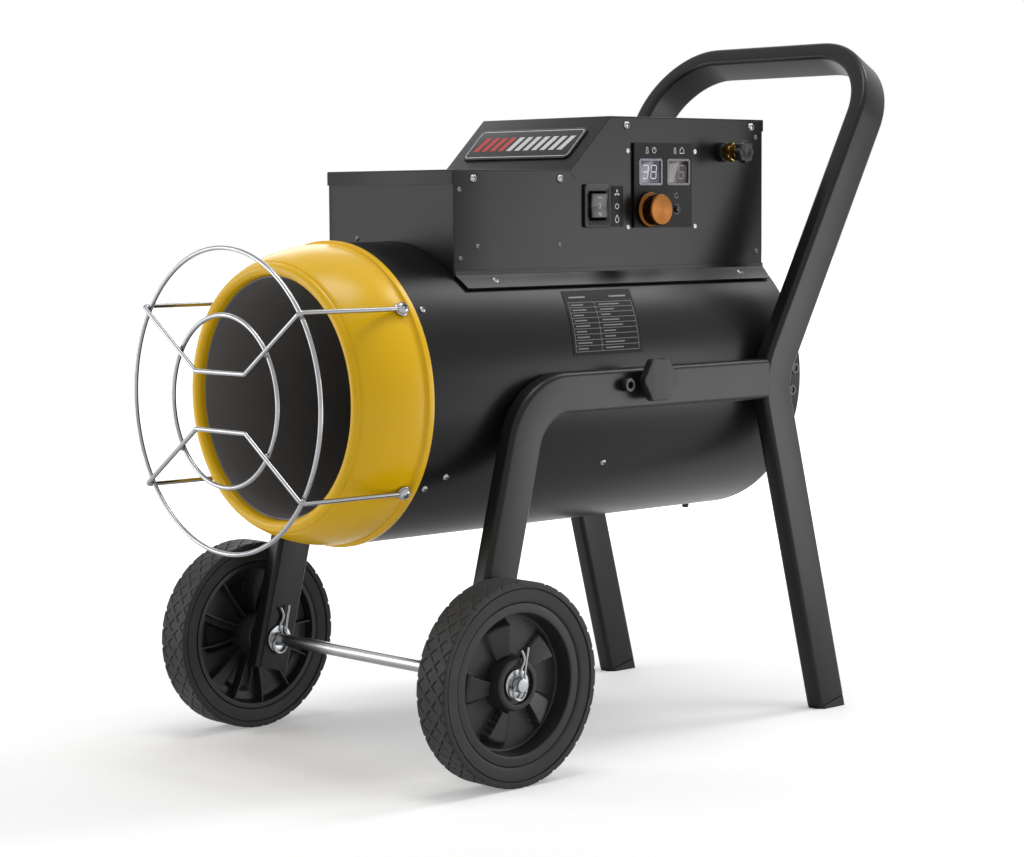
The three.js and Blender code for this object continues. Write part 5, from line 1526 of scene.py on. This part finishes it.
    def digit(self, figure: str) -> Surface:
        """A seven-segment figure of thin strokes that leans a little to the right."""
        half, tall, gap = 2.9, 5.2, 0.4
        ends = {"a": (-half, tall, half, tall), "g": (-half, 0, half, 0),
                "d": (-half, -tall, half, -tall), "f": (-half, 0, -half, tall),
                "b": (half, 0, half, tall), "e": (-half, -tall, -half, 0), "c": (half, -tall, half, 0)}
        lit = {"2": "abged", "3": "abgcd", "6": "afgedc", "8": "abcdefg"}[figure]
        strokes = []
        for x0, y0, x1, y1 in (ends[segment] for segment in lit):
            start, end = np.array([x0, y0], float), np.array([x1, y1], float)
            back = unit(end - start) * gap
            strokes.append(band(np.array([start + back, end - back]), 0.62, 0.05, closed=False))
        return combined(strokes).mapped(lambda p: np.column_stack([p[:, 0] + 0.08 * p[:, 1], p[:, 1:]]))

    def knob(self) -> None:
        """Spun knob: a base ring, a narrower neck and a cap with a chamfer."""
        seat = 2.1
        outline = [(-4, 0), (-4, 3), (seat, 3), (seat, 13.9), (seat + 3.0, 13.9), (seat + 3.9, 11.6),
                   (seat + 8.2, 11.6), (seat + 8.8, 12.3), (seat + 14.1, 12.3), (seat + 14.9, 11.5),
                   (seat + 14.9, 0)]
        profile = rounded(outline, [0.2, 0.2, 0.6, 0.9, 0.6, 0.5, 0.3, 0.4, 0.3], steps=4)
        shape = self.stood(revolved(profile, Axis.Y, 128), self.knob_x, self.knob_z)
        self.bench.piece("spun_temperature_knob", shape, KNOB_COPPER, "temperature_knob",
                         "temperature_knob", slot="knob_copper", sharp=30)

    def reset(self) -> None:
        """Small dished button with a collar round it."""
        outline = [(-19, 0), (-19, 2.8), (4.4, 2.8), (4.1, 0)]
        button = revolved(rounded(outline, [0.3, 0.7], steps=4), Axis.Y, 40)
        self.bench.piece("reset_push_button", self.stood(button, self.reset_x, self.reset_z),
                         MOULDED_NYLON, "reset_button", "reset_button", slot="black_plastic")
        ring = rounded([(1.8, 3.1), (2.3, 3.1), (2.3, 4.2), (1.8, 4.2)], [0.1, 0.2, 0.2, 0.1],
                       closed=True, steps=3)
        collar = revolved(ring, Axis.Y, 40, looped=True)
        self.bench.piece("reset_collar", self.stood(collar, self.reset_x, self.reset_z), GLOSS_ABS,
                         "heater", slot="gloss_black")

    def valve(self) -> None:
        """Brass valve with a chamfered hexagon, a neck and a spindle, a black ring next to the panel
        and its knob.

        The knob's radius at angle t is 8.35 + 0.65 cos 8t, and less round its front edge.
        """
        steps = 120
        flats = [(6.2, 6.0), (6.4, 6.7), (7.0, None), (12.4, None), (13.0, 6.7)]
        neck = [(13.2, 6.0), (14.4, 6.0), (14.6, 6.6), (18.8, 6.6), (19.4, 6.0)]
        spindle = [(19.4, 3.4), (23.6, 3.4), (24.0, 3.0), (24.0, 0.0)]
        rows = [(-52.5, 0.0), (-52.5, 5.5), (0.0, 5.5), (6.2, 5.5)] + flats + neck + spindle
        body = self.stood(around_y(rows, hexagon(13.2, steps)), self.valve_x, self.valve_z)
        self.bench.piece("machined_valve", body, BRASS, "heater", "valve_body", slot="brass", sharp=28)
        # A black oxide ring round the brass body next to the panel.
        ring = rounded([(0.0, 5.6), (0.0, 7.9), (5.8, 7.9), (5.8, 5.6)], [0.2, 0.5, 0.5, 0.2],
                       closed=True, steps=3)
        nut = self.stood(revolved(ring, Axis.Y, 48, looped=True), self.valve_x, self.valve_z)
        self.bench.piece("valve_locknut", nut, BLACK_OXIDE, "heater", slot="brass")
        rows = [(24.3, 0.0), (24.3, 3.7), (20.0, 3.7), (20.0, 6.0), (20.8, None), (26.0, None),
                (26.7, -0.5), (27.0, -1.2), (27.0, 4.6), (26.6, 4.2), (26.6, 0.0)]
        lobes = 8.35 + 0.65 * np.cos(8 * angles(steps))
        knob = self.stood(around_y(rows, lobes), self.valve_x, self.valve_z)
        self.bench.piece("lobed_valve_knob", knob, MOULDED_NYLON, "valve_knob", "valve_knob",
                         slot="black_plastic", sharp=50)


# --------------------------------------------------------- pivots and clamps

@dataclass
class TiltPivots:
    """Socket-head pivot bolts with their shanks, and star knobs."""

    bench: Bench
    pivot_x: float = 144.8
    pivot_z: float = 282.0
    clamp_x: float = 171.6
    clamp_z: float = 284.9
    seat: float = 130.8
    gap_from: float = 113.5
    gap_to: float = 114.3

    def build(self) -> None:
        """Makes both sides' bolts and knobs."""
        for side in SIDES:
            bolt = on_side(self.bolt().moved(self.pivot_x, 0, self.pivot_z), side)
            self.bench.piece(f"socket_pivot_bolt_{side}", bolt, BLACK_OXIDE, "heater",
                             f"pivot_bolt_{side}", slot="bolt_black", sharp=35)
            knob = on_side(self.star().moved(self.clamp_x, 0, self.clamp_z), side)
            self.bench.piece(f"moulded_star_knob_{side}", knob, MOULDED_NYLON, f"star_knob_{side}",
                             f"star_knob_{side}", slot="black_plastic", sharp=40)

    def bolt(self) -> Surface:
        """A round head with a hexagon socket, and its shank in the gap beside the barrel."""
        seat = self.seat
        rows = [(seat + 3.2, 0.0), (seat + 3.2, None), (seat + 6.3, None), (seat + 6.5, 3.1),
                (seat + 6.5, 4.6), (seat + 6.2, 5.0), (seat + 5.7, 5.2), (seat, 5.2), (seat, 0.0)]
        head = around_y(rows, hexagon(5.0, 60))
        shank = revolved(np.array([(self.gap_from, 0), (self.gap_from, 7), (self.gap_to, 7),
                                   (self.gap_to, 0)]), Axis.Y, 40)
        return head + shank

    def star(self) -> Surface:
        """A six-cornered head with hollowed sides on a round hub.

        The rim's radius at angle t is 16.75 + 1.05 cos 6t + 0.2 cos 12t.
        """
        t = angles(144)
        rim = 16.75 + 1.05 * np.cos(6 * t) + 0.2 * np.cos(12 * t)
        outline = np.column_stack([rim * np.cos(t), rim * np.sin(t)])
        head = slab(outline, 6.4, 0.9, 5, bottom_edge=0.7).moved(z=self.seat + 6.5)
        head = head.mapped(lambda p: p[:, [0, 2, 1]])
        profile = rounded([(self.seat, 0), (self.seat, 7), (self.seat + 6.0, 7), (self.seat + 6.8, 9),
                           (self.seat + 6.8, 0)], [0.4, 0.8, 0.2])
        return head + revolved(profile, Axis.Y, 48)


# ----------------------------------------------------------- fan and burner

@dataclass
class AirPath:
    """Burner, fan, motor and rear grille along the barrel's axis."""

    bench: Bench
    axis_z: float = AXIS_Z
    plate_x: float = 148.0
    fan_x: float = 272.0
    blades: int = 5
    pitch: float = 58.0
    grille_x: float = 366.75
    grille_wire: float = 2.5

    def build(self) -> None:
        """Makes every piece of the air path."""
        self.burner()
        self.fan()
        self.motor()
        self.grille()

    def turned(self, name: str, outline: Sequence[Sequence[float]], radius: float | Sequence[float],
               finish: Finish, node: str, slot: str, up: float = 0.0, looped: bool = False) -> None:
        """Turns an outline about a line parallel to the barrel's axis."""
        profile = rounded(outline, radius, closed=looped, steps=4)
        shape = revolved(profile, Axis.X, 72, looped=looped).moved(z=self.axis_z + up)
        self.bench.piece(name, shape, finish, "heater", node, slot=slot)

    def burner(self) -> None:
        """Slotted plate, flame cone, igniter, thermocouple and gas pipe."""
        back, front = self.plate_x - 0.3, self.plate_x - 34.3
        self.bench.refined("burner_plate", BURNER_STEEL, "heat_steel", bevel_mm=0.2)
        self.turned("flame_cone", [(back, 6.4), (back, 32), (front, 58), (front, 56.8),
                                   (back - 1.2, 30.8), (back - 1.2, 6.4)],
                    [0.1, 2.0, 0.5, 0.5, 1.5, 0.1], BURNER_STEEL, "burner_cone", "heat_steel",
                    looped=True)
        self.turned("igniter_rod", [(170, 0), (170, 3), (138, 3), (137, 1.2), (118, 1), (118, 0)], 0.4,
                    GLAZED_CERAMIC, "spark_electrode", "ceramic", up=19)
        self.turned("flame_probe", [(170, 0), (170, 2), (138, 2), (137, 1.6), (122, 1.5), (122, 0)],
                    0.3, BRIGHT_WIRE, "thermocouple", "stainless", up=-19)
        self.bench.refined("gas_pipe", DRAWN_COPPER, "copper", sharp=60)

    def fan(self) -> None:
        """Hub and five cambered blades: each blade is a lens section carried out along its radius."""
        reach = np.linspace(19, 99.5, 26)[:, None]
        low = np.interp(reach, [19, 50, 83, 93, 99.5], [-11.4, -23, -28.4, -24, -15])
        high = np.interp(reach, [19, 50, 87, 94, 99.5], [11.4, 22, 28.4, 20, 4])
        t = angles(28)
        share = (np.cos(t) + 1) / 2
        chord = low + share * (high - low)
        bow = 1.6 * (1 - (2 * share - 1) ** 2) * (reach - 19) / 80
        normal = 0.75 * np.sin(t) * np.ones_like(reach) + bow
        a = np.radians(self.pitch)
        points = np.stack([chord * np.cos(a) - normal * np.sin(a),
                           chord * np.sin(a) + normal * np.cos(a), np.broadcast_to(reach, chord.shape)],
                          axis=-1)
        blade = grid(points, capped=True)
        blades = [blade.turned(Axis.X, 360 * i / self.blades) for i in range(self.blades)]
        hub = revolved(rounded([(-10, 4.3), (-10, 19), (-7, 22), (10, 22), (10, 4.3)], [2.0, 2.0, 0.6]),
                       Axis.X, 64, looped=True)
        whole = combined(blades + [hub]).moved(x=self.fan_x, z=self.axis_z)
        self.bench.piece("pressed_fan", whole, ROLLED_ALUMINIUM, "fan", "fan", slot="fan_metal")

    def motor(self) -> None:
        """Motor on its strap, with 36 ribs along its drum, and the bolts that show on the barrel."""
        self.bench.refined("motor_bracket", ZINC_PLATE, "zinc", bevel_mm=0.5)
        outline = [(264, 0), (264, 4), (284, 4), (284, 12), (288, 12), (291, 39), (296, 39.6),
                   (340, 39.6), (345, 38), (346.7, 35), (346.7, 14), (349.7, 14), (349.7, 0)]
        profile = rounded(outline, [0.5, 0.2, 1.0, 0.5, 2.0, 1.0, 1.0, 2.0, 1.0, 0.5, 0.8], steps=4)
        shape = revolved(profile, Axis.X, 216)

        def ribbed(points: Array) -> Array:
            """The radius rises by up to 1.2 on the drum where cos 36t is above zero."""
            reach = np.hypot(points[:, 1], points[:, 2])
            angle = np.arctan2(points[:, 2], points[:, 1])
            on_drum = (reach > 39.0) & (points[:, 0] > 293) & (points[:, 0] < 343)
            rib = 1.2 * smooth_step(np.cos(36 * angle), 0.0, 0.6) * on_drum
            scale = (1 + rib / np.maximum(reach, 1))[:, None]
            return np.column_stack([points[:, :1], points[:, 1:] * scale])

        self.bench.piece("ribbed_fan_motor", shape.mapped(ribbed).moved(z=self.axis_z), BLACK_OXIDE,
                         "heater", "fan_motor", slot="motor_housing")
        bolts = []
        for x, z in ((361.0, 283.5), (357.4, 266.0)):
            cap = revolved(rounded([(112.0, 0), (112.0, 4.6), (114.3, 4.6), (114.3, 2.3), (113.2, 2.3),
                                    (113.2, 0)], [0.2, 0.4, 0.2, 0.1]), Axis.Y, 36).moved(x, 0, z)
            bolts += [cap, cap.opposite()]
        nub = revolved(rounded([(0, 0), (0, 3), (3.4, 2.6), (3.4, 0)], [0.2, 0.8]), Axis.Z, 30)
        bolts.append(nub.mapped(lambda p: p * (1, 1, -1)).moved(342, -8, self.axis_z - 112.9))
        self.bench.piece("barrel_bolts", combined(bolts), BLACK_OXIDE, "heater", slot="bolt_black",
                         sharp=35)

    def grille(self) -> None:
        """Four rings and six spokes of wire, with a pressed disc in the middle."""
        half = self.grille_wire / 2
        rings = [tube_ring(radius - half, self.grille_wire, steps=96, sides=10)
                 for radius in (111.9, 86.1, 60.05, 34)]
        rod = rounded_rectangle(self.grille_wire, self.grille_wire, 0.8, 3)
        span = np.column_stack([np.zeros(2), np.zeros(2), (-110.6, 110.6)])
        spokes = [swept(span, rod, (1, 0, 0)).turned(Axis.X, 60 * i) for i in range(3)]
        disc = revolved(rounded([(-half, 0), (-half, 12), (half, 12), (half, 8), (half - 0.8, 0)],
                                [0.6, 0.8, 1.0]), Axis.X, 48)
        whole = combined(rings + spokes + [disc]).moved(x=self.grille_x, z=self.axis_z)
        self.bench.piece("rear_wire_grille", whole, PANEL_COAT, "heater", "rear_grille",
                         slot="panel_paint")


@dataclass
class GasAndWiring:
    """What stands in the control box, and the two fittings in its rear wall."""

    bench: Bench
    wall_x: float = 365.3
    inlet_z: float = 460.0
    gland_y: float = 40.0
    gland_z: float = 420.0

    def build(self) -> None:
        """Makes the inner boxes and both fittings."""
        self.bench.refined("control_board", SOLDER_MASK, "circuit_board", bevel_mm=0.2)
        self.bench.refined("ignition_transformer", MOULDED_NYLON, "black_plastic", bevel_mm=2.0)
        self.bench.refined("gas_manifold", BRASS, "brass", bevel_mm=1.0)
        out = self.wall_x
        barbs = [spot for step in (7, 12, 17)
                 for spot in ((out + step, 4.6), (out + step + 4.4, 5.5), (out + step + 5, 5.3))]
        body = [(352.3, 0), (352.3, 6), (out, 6), (out, 9), (out + 7, 9)]
        outline = body + barbs + [(out + 25, 3), (out + 25, 0)]
        radii = [0.3, 0.1, 0.5, 0.8] + [0.3, 0.2, 0.1] * 3 + [0.8]
        barb = revolved(rounded(outline, radii, steps=3), Axis.X, 48).moved(z=self.inlet_z)
        self.bench.piece("barbed_gas_inlet", barb, BRASS, "heater", "gas_inlet", slot="brass", sharp=30)
        outline = [(out - 5.5, 0), (out - 5.5, 3.6), (out + 16.6, 3.6), (out + 16.6, 6.3),
                   (out + 14, 8.8), (out + 6.4, 9.8), (out + 5, 11.2), (out, 11.2), (out, 7.9),
                   (out - 12, 7.9), (out - 12, 0)]
        radii = [0.1, 0.8, 0.8, 2.0, 0.6, 0.6, 0.6, 0.1, 0.4]
        gland = revolved(rounded(outline, radii, steps=4), Axis.X, 64)
        gland = gland.moved(y=self.gland_y, z=self.gland_z)
        self.bench.piece("ribbed_cable_gland", gland, MOULDED_NYLON, "heater", "cable_gland",
                         slot="black_plastic")


@dataclass
class RatingPlate:
    """Dark plate on the barrel's side with ruled lines, bent round the barrel."""

    bench: Bench
    axis_z: float = AXIS_Z
    radius: float = 113.35
    middle_x: float = 152.8
    middle_angle: float = 27.3
    width: float = 74.0
    height: float = 54.4
    shear: float = 0.19

    def build(self) -> None:
        """Makes the plate and its lines."""
        u, v = np.meshgrid(np.linspace(-self.width / 2, self.width / 2, 3),
                           np.linspace(-self.height / 2, self.height / 2, 19))
        flat = grid(np.stack([u, v, np.full_like(u, 0.3)], axis=-1), around=False)
        self.bench.piece("rating_plate", flat.mapped(self.bent), PRINTED_FILM, "heater",
                         slot="gloss_black", sheet_mm=0.28, front=(0, -1, 0.5))
        rows = [band(np.column_stack([np.linspace(a, b, 2), np.full(2, y)]), w, 0.05, closed=False)
                for y, a, b, w in self.ruled()]
        posts = [band(np.column_stack([np.full(16, x), np.linspace(-24.5, 16.0, 16)]), 0.35, 0.05,
                      closed=False) for x in (-34.0, -6.0, 34.0)]
        lines = combined(rows + posts).moved(z=0.3).mapped(self.bent)
        self.bench.piece("rating_plate_lines", lines, GREY_PRINT, "heater", sharp=30)

    def ruled(self) -> list[tuple[float, float, float, float]]:
        """Height, ends and width of each line: hairlines, with a broken thicker line between them."""
        lines = [(16.0 - 4.5 * i, -34.0, 34.0, 0.35) for i in range(10)]
        for i in range(9):
            y = 13.7 - 4.5 * i
            lines.append((y, -31.5, -31.5 + 13.0 + 2.5 * np.sin(2.1 * i), 0.9))
            lines.append((y, -2.0, 14.0 + 6.0 * np.cos(1.7 * i), 0.9))
        lines.append((20.8, -31.5, -14.0, 1.3))
        lines.append((20.8, 12.0, 30.0, 1.3))
        return lines

    def bent(self, points: Array) -> Array:
        """Wraps flat points round the barrel: the angle is the height over the radius."""
        angle = np.radians(self.middle_angle) + points[:, 1] / self.radius
        reach = self.radius + points[:, 2]
        return np.column_stack([self.middle_x + points[:, 0] + self.shear * points[:, 1],
                                -reach * np.cos(angle), self.axis_z + reach * np.sin(angle)])


# -------------------------------------------------------------------- studio

@dataclass
class Studio:
    """White floor, soft lamps and the camera at the photograph's place.

    Attributes:
        camera_at: The lens, in millimetres from the axle.
        look: The direction of view.
        roll: Turn about the direction of view, in degrees.
        lens: Focal length for a film 36 mm wide.
        ambient: Brightness of the world as a light.
        near_radius: Where the floor starts to be lifted towards white.
        far_radius: Where it has reached white.
        lift_near: What the floor round the object gets for the eye.
        lift_far: What it gets from far_radius on.
        boxes: Name, place, target, size, brightness and turn of each soft box.
    """

    bench: Bench
    camera_at: tuple[float, float, float] = (-1252.33, -1510.16, 419.47)
    look: tuple[float, float, float] = (0.67766, 0.73026, -0.08652)
    roll: float = -0.344
    lens: float = 91.02
    ambient: float = 0.34
    near_radius: float = 450.0
    far_radius: float = 1500.0
    lift_near: float = 0.28
    lift_far: float = 1.0
    boxes: tuple[tuple[str, Place, Place, tuple[float, float], float, float], ...] = (
        ("overhead_box", (-20, -150, 2350), (120, -40, 300), (1000, 700), 7.5, 0.0),
        ("rear_top_box", (1480, -345, 1757), (150, -85, 355), (430, 900), 8.0, 0.0),
        ("right_box", (843, -759, 280), (190, -113, 300), (390, 560), 4.6, 0.0),
        ("left_box", (-1050, 950, 520), (60, 0, 330), (700, 800), 3.2, 0.0),
        ("back_box", (1300, 1500, 1300), (150, 0, 300), (1100, 900), 2.0, 0.0))

    def build(self) -> None:
        """Makes the floor, the lamps, the world and the camera."""
        self.floor()
        self.world()
        self.lamps()
        self.camera()
        bpy.context.scene.view_settings.view_transform = "Standard"

    def camera(self) -> None:
        """Puts the camera where the photograph was taken from."""
        data = bpy.data.cameras.new("photo_camera")
        data.lens = self.lens
        data.sensor_width = 36.0
        data.clip_end = 50.0
        camera = bpy.data.objects.new("photo_camera", data)
        place = self.bench.placed(np.array([self.camera_at]))[0]
        facing = Vector(self.look).to_track_quat("-Z", "Y").to_matrix().to_4x4()
        turn = Matrix.Rotation(np.radians(self.roll), 4, "Z")
        camera.matrix_world = Matrix.Translation(Vector(place)) @ facing @ turn
        bpy.context.scene.collection.objects.link(camera)
        bpy.context.scene.camera = camera

    def floor(self) -> None:
        """A wide white floor that keeps the shadow and runs into the background.

        What the camera and reflections see is lifted by lift_near round the object, and by
        lift_far from far_radius outwards, by a smooth step of the distance from the object.
        """
        mesh = bpy.data.meshes.new("studio_floor")
        size = 14.0
        mesh.from_pydata([(-size, -size, 0), (size, -size, 0), (size, size, 0), (-size, size, 0)], [],
                         [(0, 1, 2, 3)])
        paper = bpy.data.materials.new("white_paper")
        paper.use_nodes = True
        tree = paper.node_tree
        tree.nodes.clear()
        where = add_node(tree, "TexCoord").outputs["Object"]
        reach = add_node(tree, "VectorMath", {"operation": "LENGTH"}, {"Vector": where})
        lift = add_node(tree, "MapRange", {"interpolation_type": "SMOOTHSTEP",
                                           "From Min": self.near_radius * MM,
                                           "From Max": self.far_radius * MM, "To Min": self.lift_near,
                                           "To Max": self.lift_far}, {"Value": reach.outputs["Value"]})
        shown = add_node(tree, "Math", {"operation": "MULTIPLY"},
                         {0: self.seen(tree), 1: lift.outputs["Result"]})
        matt = add_node(tree, "BsdfDiffuse", {"Color": (0.86, 0.86, 0.86, 1)})
        glow = add_node(tree, "Emission", {"Color": (1, 1, 1, 1)}, {"Strength": shown.outputs["Value"]})
        both = add_node(tree, "AddShader", links={0: matt.outputs["BSDF"], 1: glow.outputs["Emission"]})
        add_node(tree, "OutputMaterial", links={"Surface": both.outputs["Shader"]})
        mesh.materials.append(paper)
        floor = bpy.data.objects.new("studio_floor", mesh)
        bpy.context.scene.collection.objects.link(floor)

    def seen(self, tree: bpy.types.NodeTree) -> bpy.types.NodeSocket:
        """1 for the rays that show the background: the camera's, reflected and transmitted ones."""
        path = add_node(tree, "LightPath")
        mirrored = add_node(tree, "Math", {"operation": "MAXIMUM"},
                            {0: path.outputs["Is Glossy Ray"], 1: path.outputs["Is Transmission Ray"]})
        every = add_node(tree, "Math", {"operation": "MAXIMUM"},
                         {0: path.outputs["Is Camera Ray"], 1: mirrored.outputs["Value"]})
        return every.outputs["Value"]

    def world(self) -> None:
        """An even soft light, with white behind the object and in its reflections."""
        world = bpy.data.worlds.new("studio_world")
        world.use_nodes = True
        tree = world.node_tree
        tree.nodes.clear()
        plain = add_node(tree, "Background", {"Color": (0.97, 0.98, 1.0, 1), "Strength": self.ambient})
        white = add_node(tree, "Background", {"Color": (1, 1, 1, 1), "Strength": 1.0})
        mix = add_node(tree, "MixShader", links={0: self.seen(tree), 1: plain.outputs["Background"],
                                                 2: white.outputs["Background"]})
        add_node(tree, "OutputWorld", links={"Surface": mix.outputs["Shader"]})
        bpy.context.scene.world = world

    def lamps(self) -> None:
        """Soft boxes, each given by its place, its target, its size, its brightness and its turn."""
        for name, place, target, size, radiance, turn in self.boxes:
            data = bpy.data.lights.new(name, "AREA")
            data.shape = "RECTANGLE"
            data.size, data.size_y = size[0] * MM, size[1] * MM
            data.energy = radiance * np.pi * data.size * data.size_y
            lamp = bpy.data.objects.new(name, data)
            spot, aim = (Vector(p) for p in self.bench.placed(np.array([place, target])))
            facing = (aim - spot).to_track_quat("-Z", "Y").to_matrix().to_4x4()
            spin = Matrix.Rotation(np.radians(turn), 4, "Z")
            lamp.matrix_world = Matrix.Translation(spot) @ facing @ spin
            lamp.visible_camera = False
            bpy.context.scene.collection.objects.link(lamp)


def main() -> None:
    """Builds every assembly in order."""
    logging.basicConfig(level=logging.INFO, format="%(message)s")
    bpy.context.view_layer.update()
    low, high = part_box("axle")
    bench = Bench(axle_x=(low.x + high.x) / 2)
    for assembly in (Studio, Cart, Wheels, Barrel, Guard, ControlBox, Controls, TiltPivots, AirPath,
                     GasAndWiring, RatingPlate):
        assembly(bench).build()
    log.info("%d pieces", len(bench.made))


if __name__ == "__main__":
    main()
